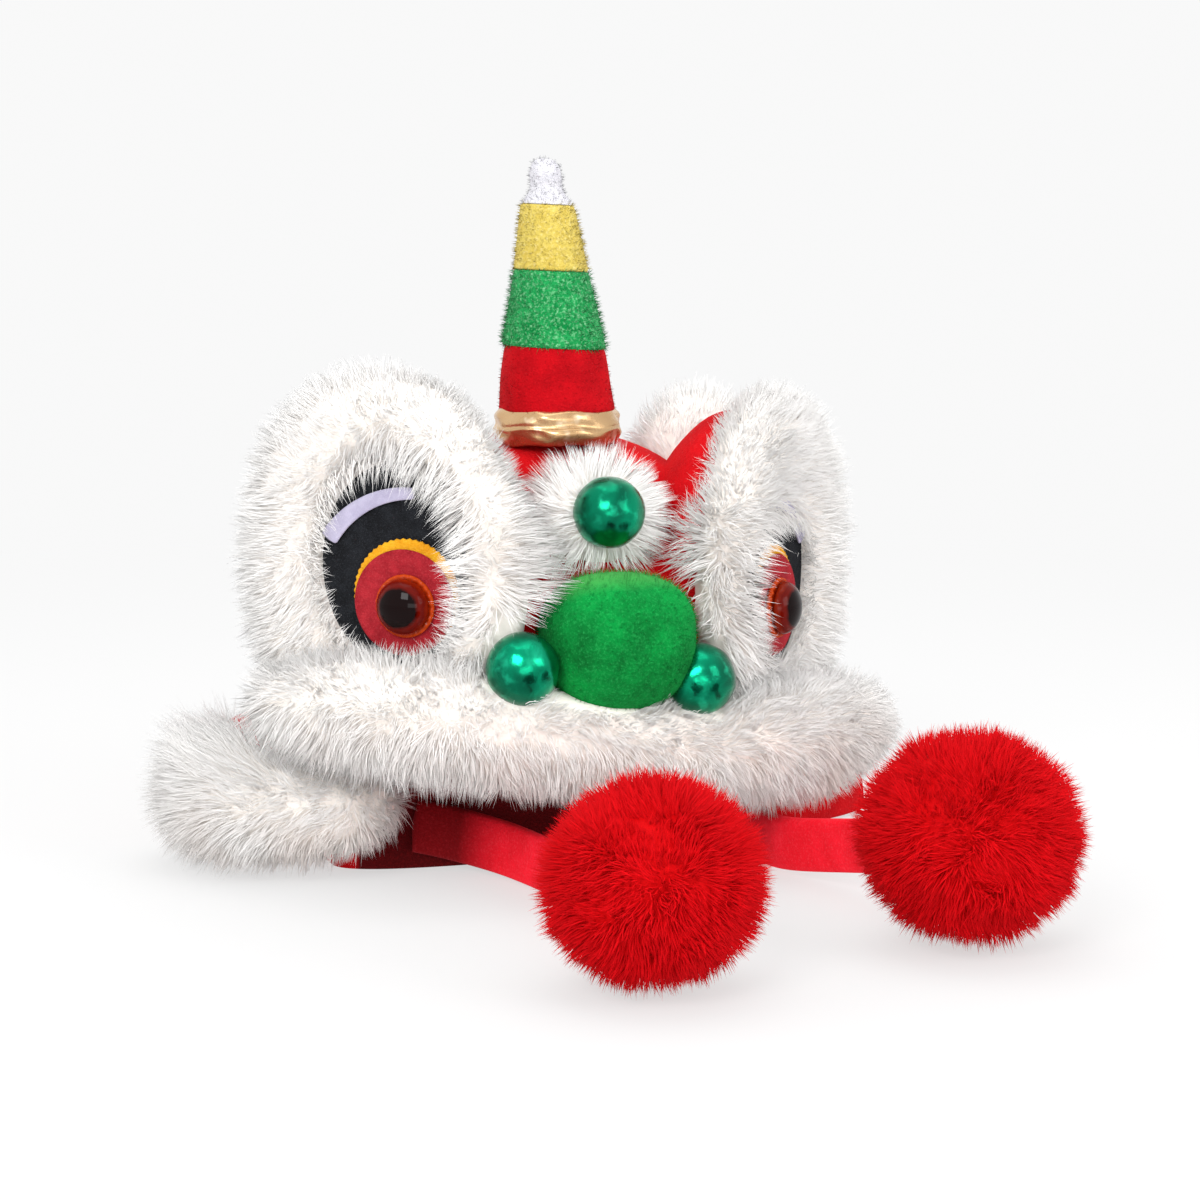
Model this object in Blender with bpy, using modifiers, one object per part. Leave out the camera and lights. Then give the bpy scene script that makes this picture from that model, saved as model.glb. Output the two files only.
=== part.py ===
"""Pet lion hat, in metres, +Z up, face towards -Y, resting on the plane Z = 0.

A hollow red plush crown carries a stuffed horn, fur loops round two button eyes, a nose, three
metallic balls, a fur lip, side flaps with fur lobes, and two flat straps that end in pompoms.
"left" in a name is the -X side. Fur and pile are closed rolls whose faces rise into fused locks.
"""

import math

import bmesh
import bpy
import numpy as np
from mathutils import Matrix, Vector

MM = 0.001
GAP = 0.3 * MM
SIDES = {"left": -1, "right": 1}

# Crown: half sizes of a superellipsoid dome, whose lower front turns inwards under the lip
CROWN_X = 60 * MM
CROWN_Y = 52 * MM
CROWN_Z = 113 * MM
CROWN_MIDDLE_Y = 6 * MM
CROWN_PLAN_POWER = 2.6
CROWN_RISE_POWER = 2.85
CROWN_WALL = 3 * MM
CROWN_SKIRT = 10 * MM
CROWN_SEGMENTS = 24
CROWN_RINGS = 20
TUCK_LOW = 18 * MM
TUCK_HIGH = 36 * MM
TUCK_SHARE = 0.71

# Horn: the outline of each stuffed band, from the top down
HORN_X = -0.8 * MM
HORN_Y = -7 * MM
HORN_FOOT = 120.5 * MM
HORN_TOP = 185 * MM
HORN_LEAN = 3.2 * MM
HORN_LEAN_POWER = 1.2
HORN_PLUG_RADIUS = 12.2 * MM
HORN_ROWS = {
    # name: slot, then rows of radius and height; the lowest rows of the red band are its plug
    "horn_red": (
        "horn_red",
        ((0, 136), (12.9, 136), (13.3, 135), (15.2, 121.4), (15, 120.5), (12.2, 120.5), (12.2, 100), (0, 100)),
    ),
    "horn_green": (
        "green_plush",
        ((0, 156), (9.3, 156), (9.7, 155.3), (11.5, 146), (13.1, 137.1), (13, 136.3), (0, 136.3)),
    ),
    "horn_yellow": (
        "yellow_plush",
        ((0, 173), (6.6, 173), (7, 172.3), (8.3, 164.6), (9.4, 157.1), (9.3, 156.3), (0, 156.3)),
    ),
    "horn_tip": (
        "white_plush",
        ((0, 185), (2.2, 184.6), (3.6, 183.2), (4.1, 181), (4.3, 178.5), (6.2, 173.4), (0, 173.3)),
    ),
}
BAND_FOOT = 111.3 * MM
BAND_HEIGHT = 8.9 * MM
BAND_RADIUS = 16.3 * MM
BAND_OUTLINE = (
    # inwards from the radius in millimetres, share of the height
    (1.0, 1.0),
    (0.2, 0.87),
    (0.0, 0.7),
    (0.9, 0.53),
    (0.0, 0.34),
    (0.1, 0.16),
    (1.1, 0.0),
)
BAND_WAVES = (
    # share of the radius, waves round the band, where they start
    (0.012, 5, 1.0),
    (0.008, 9, 0.0),
)

# Eyes: the button's middle, the turn of the eye's plane from the front, and the stack on the felt pad
EYE_X = 49.5 * MM
EYE_Y = -30.9 * MM
EYE_Z = {"left": 74 * MM, "right": 68 * MM}
EYE_TURN = math.radians(42)
PAD_MIDDLE = (4 * MM, 9.5 * MM)
PAD_HALF = (20.5 * MM, 26 * MM)
PAD_THICK = 2 * MM
CRESCENT_ANGLES = (math.radians(36), math.radians(92))
CRESCENT_OUTER = 29.6 * MM
CRESCENT_INNER = (24.6 * MM, 26.6 * MM)
CRESCENT_STEPS = 10
FELT_THICK = 0.9 * MM
YELLOW_MIDDLE = (0.6 * MM, 2.2 * MM)
YELLOW_RADIUS = 14.6 * MM
RED_MIDDLE = (0.9 * MM, 0.6 * MM)
RED_RADIUS = 13.5 * MM
RIM_RADIUS = 8 * MM
RIM_THICK = 1.6 * MM
DOME_RADIUS = 7 * MM
DOME_RISE = 4.6 * MM

# Brow loops in the eye's plane, and the cushion behind each
BROW_SHAPES = {
    # middle x, y, half width and height of the centreline, roll's radius outside, inside and on top
    "left": (8.5, 9.5, 26.5, 37.0, 12.0, 9.0, 12.5),
    "right": (11.5, 9.5, 25.5, 33.5, 13.0, 8.0, 12.5),
}
BROW_LEVEL = -5 * MM
BROW_FLAT = 9.5 * MM
BROW_STEPS = 19
BROW_SIDES = 6
WELL_HALF = (21.6 * MM, 27.2 * MM)
WELL_DEPTH = 30 * MM
CUSHION_MIDDLE = (8 * MM, 9.5 * MM)
CUSHION_OVAL = 1.22
CUSHION_ROWS = (
    # radius, level, from the eye's plane backwards
    (0, -2.3),
    (20, -2.3),
    (24, -5),
    (32, -10),
    (34, -15),
    (31, -22),
    (22, -31),
    (0, -34),
)

# Ears, nose, balls and forehead patch: middle and half sizes
EAR_MIDDLE = (48 * MM, 12 * MM, 98 * MM)
EAR_HALF = (20 * MM, 15 * MM, 25 * MM)
NOSE_MIDDLE = (-1.2 * MM, -50 * MM, 64.5 * MM)
NOSE_HALF = (19.5 * MM, 16 * MM, 17.3 * MM)
CHEEK_RADIUS = 9.2 * MM
CHEEK_MIDDLES = {
    "left": (-28.5 * MM, -55 * MM, 60 * MM),
    "right": (19.3 * MM, -55 * MM, 54.5 * MM),
}
FOREHEAD_BALL_RADIUS = 9.1 * MM
FOREHEAD_BALL_MIDDLE = (-1 * MM, -44 * MM, 96.5 * MM)
FOREHEAD_FUR_MIDDLE = (-1 * MM, -33.5 * MM, 95.5 * MM)
FOREHEAD_FUR_HALF = (17.5 * MM, 7.5 * MM, 15.5 * MM)

# Lip roll from left to right: the line through its middle, and its half height and half depth
LIP_ROWS = (
    # x, y, z, half height, half depth
    (-86, -14, 50, 13.0, 11.5),
    (-66, -31, 49, 14.0, 12.0),
    (-36, -48, 45, 14.0, 12.0),
    (0, -55, 39, 12.5, 11.5),
    (36, -48, 35, 14.0, 12.0),
    (67, -31, 34, 15.0, 12.0),
    (92, -12, 33, 14.0, 11.5),
)

# Side flaps: red walls and their fur lobes
FLAP_WALL = 2.5 * MM
FLAP_EDGES = {
    # the line along the crown and the line along the free edge: x, y, z
    "left": (
        ((-50, -12, 42), (-56, -2, 43), (-57, 12, 44), (-56, 26, 44)),
        ((-68, -16, 34), (-79, -3, 34), (-84, 12, 35), (-82, 28, 36)),
    ),
    "right": (
        ((57, 4, 32), (72, 2, 32), (86, 5, 30), (97, 11, 27)),
        ((57, 4, 0.4), (73, 0, 0.4), (89, 5, 0.4), (101, 12, 0.4)),
    ),
}
LOBE_ROWS = {
    # x, y, z, half height, half depth
    "left": (
        (-47, -17, 22, 11.5, 9.0),
        (-64, -12, 21.5, 13.5, 12.0),
        (-80, 0, 20.5, 14.5, 13.0),
        (-88, 17, 20, 14.5, 13.0),
        (-84, 38, 19, 14.0, 12.0),
    ),
    "right": (
        (76, 18, 18, 13.5, 10.0),
        (88, 26, 19, 14.0, 12.0),
        (90, 44, 19, 14.0, 13.0),
    ),
}

# Straps on edge: the line along the middle
STRAP_HALF_WIDTH = 7 * MM
STRAP_HALF_THICK = 2.2 * MM
STRAP_ROWS = {
    # x, y, z
    "left": (
        (-42, -7.5, 12),
        (-31, -13, 9.5),
        (-22, -30, 8),
        (-18, -58, 7.4),
        (-21, -88, 7.4),
        (-26, -112, 10.5),
        (-28, -126, 15),
    ),
    "right": (
        (41, -7, 12),
        (47, -19, 9.5),
        (47, -34, 7.6),
        (47, -50, 8.4),
        (53, -72, 12),
        (56, -96, 17),
        (55.5, -112, 21),
    ),
}
POMPOMS = {
    # middle x, y, z, then half width and half height
    "left": (-28.6, -138, 25.5, 23.5, 21.7),
    "right": (55, -131, 27.1, 25.0, 23.2),
}

LONG_LOCK = 5.0 * MM
SHORT_LOCK = 3.2 * MM
PILE_LOCK = 3.6 * MM
GROWTH = 1.6 * GAP
FLOOR = 0.1 * MM
HIDDEN_TURN = 0.6

COLOURS = {
    # name: sRGB red, green, blue, then roughness and metallic
    "white_fur": (246, 242, 236, 0.95, 0.0),
    "red_plush": (214, 12, 22, 0.9, 0.0),
    "horn_red": (190, 8, 20, 0.9, 0.0),
    "green_plush": (52, 165, 86, 0.9, 0.0),
    "yellow_plush": (240, 220, 96, 0.9, 0.0),
    "white_plush": (236, 234, 240, 0.85, 0.0),
    "gold_cloth": (206, 170, 110, 0.35, 0.9),
    "green_velvet": (0, 140, 58, 0.85, 0.0),
    "green_foil": (0, 125, 88, 0.25, 0.9),
    "black_felt": (38, 40, 43, 0.95, 0.0),
    "lilac_satin": (200, 195, 216, 0.5, 0.0),
    "yellow_felt": (250, 188, 50, 0.95, 0.0),
    "red_felt": (188, 48, 58, 0.95, 0.0),
    "amber_plastic": (170, 52, 14, 0.1, 0.0),
    "red_pile": (214, 10, 20, 0.95, 0.0),
    "red_fleece": (235, 38, 52, 0.9, 0.0),
}


def linear(channel):
    """The linear value of an sRGB channel from 0 to 255."""
    c = channel / 255
    return c / 12.92 if c <= 0.04045 else ((c + 0.055) / 1.055) ** 2.4


def material(name):
    """A Principled material from the table of colours, made once."""
    found = bpy.data.materials.get(name)
    if found:
        return found
    red, green, blue, roughness, metallic = COLOURS[name]
    made = bpy.data.materials.new(name)
    made.use_nodes = True
    shader = made.node_tree.nodes["Principled BSDF"]
    shader.inputs["Base Color"].default_value = (linear(red), linear(green), linear(blue), 1)
    shader.inputs["Roughness"].default_value = roughness
    shader.inputs["Metallic"].default_value = metallic
    return made


def collection(name):
    made = bpy.data.collections.new(name)
    bpy.context.scene.collection.children.link(made)
    return made


def millimetres(rows):
    """A table in millimetres as an array in metres."""
    return np.array(rows, float) * MM


def signed_power(value, power):
    return math.copysign(abs(value) ** power, value)


def smooth_line(points, share):
    """The point at a share from 0 to 1 of a smooth curve through the points, evenly by number."""
    points = np.asarray(points, float)
    last = len(points) - 1
    place = min(max(share, 0), 1) * last
    i = min(int(place), last - 1)
    t = place - i
    before = points[i - 1] if i else 2 * points[0] - points[1]
    after = points[i + 2] if i + 2 <= last else 2 * points[last] - points[last - 1]
    a, b = points[i], points[i + 1]
    return 0.5 * (
        2 * a
        + (b - before) * t
        + (2 * before - 5 * a + 4 * b - after) * t**2
        + (3 * a - before - 3 * b + after) * t**3
    )


def face_outwards(bm):
    """Turns every face of a closed body outwards."""
    bmesh.ops.recalc_face_normals(bm, faces=bm.faces)
    if bm.calc_volume(signed=True) < 0:
        bmesh.ops.reverse_faces(bm, faces=bm.faces)
    bm.normal_update()


def keep(bm, name, look, where, smooth=True):
    """The bmesh as an object of that name and material, in the collection."""
    face_outwards(bm)
    mesh = bpy.data.meshes.new(name)
    bm.to_mesh(mesh)
    bm.free()
    if smooth:
        mesh.shade_smooth()
        mesh.set_sharp_from_angle(angle=math.radians(35))
    made = bpy.data.objects.new(name, mesh)
    where.objects.link(made)
    mesh.materials.append(material(look))
    return made


def settle(target):
    """Applies an object's modifiers and keeps the largest of the bodies that they leave."""
    depsgraph = bpy.context.evaluated_depsgraph_get()
    mesh = bpy.data.meshes.new_from_object(target.evaluated_get(depsgraph))
    target.modifiers.clear()
    target.data = mesh
    bm = bmesh.new()
    bm.from_mesh(mesh)
    bmesh.ops.remove_doubles(bm, verts=bm.verts, dist=0.002 * MM)
    bmesh.ops.dissolve_degenerate(bm, dist=0.002 * MM, edges=bm.edges)
    bmesh.ops.triangulate(bm, faces=bm.faces)
    islands, seen = [], set()
    for start in bm.verts:
        if start in seen:
            continue
        island, todo = [], [start]
        seen.add(start)
        while todo:
            vert = todo.pop()
            island.append(vert)
            for edge in vert.link_edges:
                other = edge.other_vert(vert)
                if other not in seen:
                    seen.add(other)
                    todo.append(other)
        islands.append(island)
    islands.sort(key=len)
    bmesh.ops.delete(bm, geom=[v for island in islands[:-1] for v in island], context="VERTS")
    face_outwards(bm)
    bm.to_mesh(mesh)
    bm.free()


def tool_of(bm, name, cutters):
    """A cutter from a bmesh, drawn as wire and left out of renders."""
    made = keep(bm, "cut_" + name, "red_plush", cutters, smooth=False)
    made.hide_render = True
    made.display_type = "WIRE"
    return made


def cutter_of(source, cutters, grow=GROWTH):
    """A slightly larger copy of a smooth object, that cuts its neighbours and leaves a gap."""
    bm = bmesh.new()
    bm.from_mesh(source.data)
    bm.transform(source.matrix_world)
    bm.normal_update()
    for vert, out in [(vert, vert.normal.copy()) for vert in bm.verts]:
        vert.co += out * grow
    return tool_of(bm, source.name, cutters)


def cut(target, tools):
    """Takes the tools out of the target."""
    for tool in tools:
        modifier = target.modifiers.new("cut", "BOOLEAN")
        modifier.operation = "DIFFERENCE"
        modifier.solver = "EXACT"
        modifier.object = tool
    bpy.context.view_layer.update()
    settle(target)


def sphere(segments, rings):
    bm = bmesh.new()
    bmesh.ops.create_uvsphere(bm, u_segments=segments, v_segments=rings, radius=1)
    return bm


def ball(name, look, where, middle, half, segments=12, rings=8):
    """An ellipsoid from its middle and half sizes."""
    bm = sphere(segments, rings)
    bmesh.ops.scale(bm, vec=half, verts=bm.verts)
    bmesh.ops.translate(bm, vec=middle, verts=bm.verts)
    return keep(bm, name, look, where)


def furry(bm, name, look, where, height, back=None, floor=None):
    """The body with each face raised into a lock, apart from those that look towards back."""
    face_outwards(bm)
    shown = [f for f in bm.faces if back is None or f.normal.dot(Vector(back)) < HIDDEN_TURN]
    made = bmesh.ops.poke(bm, faces=shown, offset=height)
    if floor is not None:
        for tip in made["verts"]:
            tip.co.z = max(tip.co.z, floor)
    return keep(bm, name, look, where, smooth=False)


def lobe_body(middle, half, segments, rings, grow=0.0):
    """A round lump from its middle and half sizes."""
    bm = sphere(segments, rings)
    bmesh.ops.scale(bm, vec=[size + grow for size in half], verts=bm.verts)
    bmesh.ops.translate(bm, vec=middle, verts=bm.verts)
    return bm


def roll_body(rows, segments, rings, grow=0.0):
    """A round-ended roll along the rows' line: rows are x, y, z, half height, half depth."""
    rows = millimetres(rows)
    bm = sphere(segments, rings)
    for vert in bm.verts:
        x, y, z = vert.co
        share = 0.5 - 0.5 * z
        here = smooth_line(rows, share)
        ahead = smooth_line(rows, share + 0.01) - smooth_line(rows, share - 0.01)
        along = Vector(ahead[:3]).normalized()
        side = Vector((along.y, -along.x, 0)).normalized()
        up = along.cross(side)
        around = math.atan2(y, x)
        round_end = (1 - abs(z) ** 5) ** 0.5
        out = side * (math.cos(around) * (here[4] + grow))
        out += up * (math.sin(around) * (here[3] + grow))
        vert.co = Vector(here[:3]) + out * round_end - along * (grow * z)
    return bm


def turned(name, look, where, rows, steps=16):
    """A turned solid: rows of radius and height, from the top down."""
    bm = bmesh.new()
    verts = [bm.verts.new((radius, 0, height)) for radius, height in rows]
    for a, b in zip(verts, verts[1:]):
        bm.edges.new((a, b))
    made = keep(bm, name, look, where)
    screw = made.modifiers.new("turn", "SCREW")
    screw.steps = screw.render_steps = steps
    screw.use_merge_vertices = True
    screw.merge_threshold = 0.01 * MM
    bpy.context.view_layer.update()
    settle(made)
    bm = bmesh.new()
    bm.from_mesh(made.data)
    face_outwards(bm)
    bm.to_mesh(made.data)
    bm.free()
    return made


def tucked(y, z):
    """The front of the crown turned inwards below the lip; y is from the crown's middle."""
    if y >= 0:
        return y
    share = min(max((TUCK_HIGH - z) / (TUCK_HIGH - TUCK_LOW), 0), 1)
    return y * (1 - TUCK_SHARE * share)


def crown_body(grow=0.0, closed=True):
    """The dome's outer surface with a straight skirt below the floor, closed under it or open."""
    bm = sphere(CROWN_SEGMENTS, CROWN_RINGS)
    plan = 2 / CROWN_PLAN_POWER
    for vert in bm.verts:
        x, y, z = vert.co
        flat = math.hypot(x, y)
        around = math.atan2(y, x)
        if z > -0.01:
            reach = (1 - max(z, 0) ** CROWN_RISE_POWER) ** (1 / CROWN_RISE_POWER)
            height = (CROWN_Z + grow) * max(z, 0)
        else:
            reach = 1 if flat > 0.98 else flat
            height = -CROWN_SKIRT
        vert.co.x = (CROWN_X + grow) * reach * signed_power(math.cos(around), plan)
        across = CROWN_Y * reach * signed_power(math.sin(around), plan)
        outwards = grow * signed_power(math.sin(around), plan)
        vert.co.y = tucked(across, height) + outwards + CROWN_MIDDLE_Y
        vert.co.z = height
    if not closed:
        under = [f for f in bm.faces if all(v.co.z < -0.99 * CROWN_SKIRT for v in f.verts)]
        bmesh.ops.delete(bm, geom=under, context="FACES")
    return bm


def make_crown(where, cutters):
    crown = keep(crown_body(closed=False), "crown", "red_plush", where)
    wall = crown.modifiers.new("wall", "SOLIDIFY")
    wall.thickness = CROWN_WALL
    wall.offset = -1
    bm = bmesh.new()
    bmesh.ops.create_cube(bm, size=1)
    bmesh.ops.scale(bm, vec=(4 * CROWN_X, 4 * CROWN_Y, 2 * CROWN_SKIRT), verts=bm.verts)
    bmesh.ops.translate(bm, vec=(0, 0, -CROWN_SKIRT), verts=bm.verts)
    cut(crown, [tool_of(bm, "floor", cutters)])
    return crown


def lean(made):
    """Leans a piece of the horn to the left, more towards the tip."""
    for vert in made.data.vertices:
        share = max(vert.co.z - HORN_FOOT, 0) / (HORN_TOP - HORN_FOOT)
        vert.co.x += HORN_X - HORN_LEAN * share**HORN_LEAN_POWER
        vert.co.y += HORN_Y


def make_horn(where):
    """The four stuffed bands, each a turned solid."""
    pieces = {}
    for name, (look, rows) in HORN_ROWS.items():
        pieces[name] = turned(name, look, where, millimetres(rows).tolist())
        lean(pieces[name])
    return pieces


def make_band(where):
    """The gold band: a ring round the horn's plug, with two soft folds and a wavy outside."""
    inner = HORN_PLUG_RADIUS + GAP
    rows = [
        (BAND_RADIUS - inwards * MM, BAND_FOOT + share * BAND_HEIGHT)
        for inwards, share in BAND_OUTLINE
    ]
    corners = [(inner, BAND_FOOT + BAND_HEIGHT), (inner, BAND_FOOT)]
    made = turned("horn_band", "gold_cloth", where, [corners[0], *rows, corners[1], corners[0]], 20)
    for vert in made.data.vertices:
        around = math.atan2(vert.co.y, vert.co.x)
        if math.hypot(vert.co.x, vert.co.y) > inner + MM:
            fold = 1 + sum(size * math.sin(n * around + start) for size, n, start in BAND_WAVES)
            vert.co.x *= fold
            vert.co.y *= fold
    lean(made)
    return made


def eye_matrix(side):
    """The frame of an eye: X outwards along the hat, Y up, Z out of the eye."""
    sign = SIDES[side]
    out = Vector((sign * math.sin(EYE_TURN), -math.cos(EYE_TURN), 0))
    up = Vector((0, 0, 1))
    outer = Vector((sign * math.cos(EYE_TURN), math.sin(EYE_TURN), 0))
    middle = Vector((sign * EYE_X, EYE_Y, EYE_Z[side]))
    columns = Matrix((outer, up, out)).transposed().to_4x4()
    return Matrix.Translation(middle) @ columns


def place(bm, side):
    """Moves a bmesh from the eye's frame to the hat's."""
    bm.transform(eye_matrix(side))


def disc(name, look, where, side, middle, half, low, high, segments=20):
    """An oval disc in the eye's plane, from level low to level high."""
    bm = bmesh.new()
    bmesh.ops.create_cone(
        bm, cap_ends=True, segments=segments, radius1=1, radius2=1, depth=high - low
    )
    shift = Matrix.Translation((middle[0], middle[1], (low + high) / 2))
    bm.transform(shift @ Matrix.Diagonal((half[0], half[1], 1, 1)))
    place(bm, side)
    return keep(bm, name, look, where)


def make_crescent(where, side):
    """A satin arc round the button on the felt pad, narrower towards its upper end."""
    bm = bmesh.new()
    rings = []
    for i in range(CRESCENT_STEPS + 1):
        share = i / CRESCENT_STEPS
        angle = CRESCENT_ANGLES[0] + (CRESCENT_ANGLES[1] - CRESCENT_ANGLES[0]) * share
        inner = CRESCENT_INNER[0] + (CRESCENT_INNER[1] - CRESCENT_INNER[0]) * share
        corners = []
        for radius, level in ((CRESCENT_OUTER, 0), (CRESCENT_OUTER, 1), (inner, 1), (inner, 0)):
            place_of = (radius * math.cos(angle), radius * math.sin(angle), GAP + FELT_THICK * level)
            corners.append(bm.verts.new(place_of))
        rings.append(corners)
    for a, b in zip(rings, rings[1:]):
        for i in range(4):
            bm.faces.new((a[i], a[i - 1], b[i - 1], b[i]))
    bm.faces.new(rings[0])
    bm.faces.new(rings[-1])
    place(bm, side)
    return keep(bm, f"eye_crescent_{side}", "lilac_satin", where, smooth=False)


def make_eye(where, side):
    """The felt pad, satin arc, two felt discs, rim and dome of one eye, stacked with small gaps."""
    yellow_low = GAP
    red_low = yellow_low + FELT_THICK + GAP
    rim_low = red_low + FELT_THICK + GAP
    dome_low = rim_low + RIM_THICK + GAP
    round_yellow = (YELLOW_RADIUS, YELLOW_RADIUS)
    round_red = (RED_RADIUS, RED_RADIUS)
    round_rim = (RIM_RADIUS, RIM_RADIUS)
    pieces = [
        disc(f"eye_pad_{side}", "black_felt", where, side, PAD_MIDDLE, PAD_HALF, -PAD_THICK, 0, 26),
        make_crescent(where, side),
        disc(
            f"eye_yellow_{side}",
            "yellow_felt",
            where,
            side,
            YELLOW_MIDDLE,
            round_yellow,
            yellow_low,
            yellow_low + FELT_THICK,
        ),
        disc(
            f"eye_red_{side}",
            "red_felt",
            where,
            side,
            RED_MIDDLE,
            round_red,
            red_low,
            red_low + FELT_THICK,
        ),
        disc(
            f"eye_rim_{side}",
            "amber_plastic",
            where,
            side,
            (0, 0),
            round_rim,
            rim_low,
            rim_low + RIM_THICK,
        ),
    ]
    bm = sphere(18, 10)
    lower = [v for v in bm.verts if v.co.z < -0.01]
    bmesh.ops.delete(bm, geom=lower, context="VERTS")
    bmesh.ops.holes_fill(bm, edges=[e for e in bm.edges if e.is_boundary], sides=0)
    size = Matrix.Diagonal((DOME_RADIUS, DOME_RADIUS, DOME_RISE, 1))
    bm.transform(Matrix.Translation((0, 0, dome_low)) @ size)
    place(bm, side)
    pieces.append(keep(bm, f"eye_dome_{side}", "amber_plastic", where))
    return pieces


def make_cushion(where, side):
    """The red cushion behind an eye and its brow: a turned shape made oval."""
    made = turned(
        f"brow_backing_{side}", "red_plush", where, millimetres(CUSHION_ROWS).tolist(), 26
    )
    bm = bmesh.new()
    bm.from_mesh(made.data)
    shift = Matrix.Translation((*CUSHION_MIDDLE, 0))
    bm.transform(shift @ Matrix.Diagonal((1, CUSHION_OVAL, 1, 1)))
    place(bm, side)
    face_outwards(bm)
    bm.to_mesh(made.data)
    bm.free()
    return made


def brow_body(side, grow=0.0):
    """A loop round an eye: a round section carried round an ellipse, wider outside than inside."""
    values = [value * MM for value in BROW_SHAPES[side]]
    middle_x, middle_y, half_width, half_height, outside, inside, top = values
    bm = bmesh.new()
    rings = []
    for i in range(BROW_STEPS):
        around = 2 * math.pi * i / BROW_STEPS
        across = math.cos(around)
        rise = math.sin(around)
        wide = (outside + inside) / 2 + (outside - inside) / 2 * across
        wide += (top - wide) * max(rise, 0) ** 2 + grow
        ring = []
        for k in range(BROW_SIDES):
            turn = 2 * math.pi * k / BROW_SIDES
            reach = wide * math.cos(turn)
            x = middle_x + (half_width + reach) * across
            y = middle_y + (half_height + reach) * rise
            ring.append(bm.verts.new((x, y, BROW_LEVEL + (BROW_FLAT + grow) * math.sin(turn))))
        rings.append(ring)
    for i in range(BROW_STEPS):
        a, b = rings[i - 1], rings[i]
        for k in range(BROW_SIDES):
            bm.faces.new((a[k - 1], a[k], b[k], b[k - 1]))
    place(bm, side)
    return bm


def eye_well(side):
    """The oval space in front of the felt pad, that the brow's inner side keeps out of."""
    bm = bmesh.new()
    bmesh.ops.create_cone(
        bm, cap_ends=True, segments=24, radius1=1, radius2=1, depth=WELL_DEPTH
    )
    shift = Matrix.Translation((PAD_MIDDLE[0], PAD_MIDDLE[1], WELL_DEPTH / 2 - PAD_THICK - GAP))
    bm.transform(shift @ Matrix.Diagonal((WELL_HALF[0], WELL_HALF[1], 1, 1)))
    place(bm, side)
    return bm


def make_flap(where, side):
    """A red cloth wall between the line along the crown and the flap's free edge."""
    inner, outer = (millimetres(rows) for rows in FLAP_EDGES[side])
    bm = bmesh.new()
    bmesh.ops.create_grid(bm, x_segments=10, y_segments=3, size=1)
    for vert in bm.verts:
        share = 0.5 + 0.5 * vert.co.x
        down = 0.5 + 0.5 * vert.co.y
        a = smooth_line(inner, share)
        b = smooth_line(outer, share)
        vert.co = Vector(a + (b - a) * down)
    made = keep(bm, f"flap_{side}", "red_plush", where)
    wall = made.modifiers.new("wall", "SOLIDIFY")
    wall.thickness = FLAP_WALL
    wall.offset = 0
    bpy.context.view_layer.update()
    settle(made)
    for vert in made.data.vertices:
        vert.co.z = max(vert.co.z, FLOOR)
    return made


def make_strap(where, side):
    """A flat strap on edge along its line, its lower edge on or above the floor."""
    rows = millimetres(STRAP_ROWS[side])
    count = 14
    bm = bmesh.new()
    bmesh.ops.create_grid(bm, x_segments=count, y_segments=2, size=1)
    for vert in bm.verts:
        share = 0.5 + 0.5 * vert.co.x
        here = Vector(smooth_line(rows, share))
        vert.co = here + Vector((0, 0, STRAP_HALF_WIDTH * vert.co.y))
        vert.co.z = max(vert.co.z, 2 * FLOOR)
    made = keep(bm, f"strap_{side}", "red_fleece", where)
    wall = made.modifiers.new("wall", "SOLIDIFY")
    wall.thickness = 2 * STRAP_HALF_THICK
    wall.offset = 0
    bpy.context.view_layer.update()
    settle(made)
    return made


def stand(hat):
    """Hangs every piece on an empty that puts the bottom centre of the hat's box at the origin."""
    corners = []
    for piece in hat.objects:
        corners += [piece.matrix_world @ vert.co for vert in piece.data.vertices]
    corners = np.array(corners)
    low, high = corners.min(axis=0), corners.max(axis=0)
    middle = (low + high) / 2
    root = bpy.data.objects.new("hat_origin", None)
    for piece in list(hat.objects):
        piece.parent = root
    hat.objects.link(root)
    root.location = (-middle[0], -middle[1], -low[2])


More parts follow.
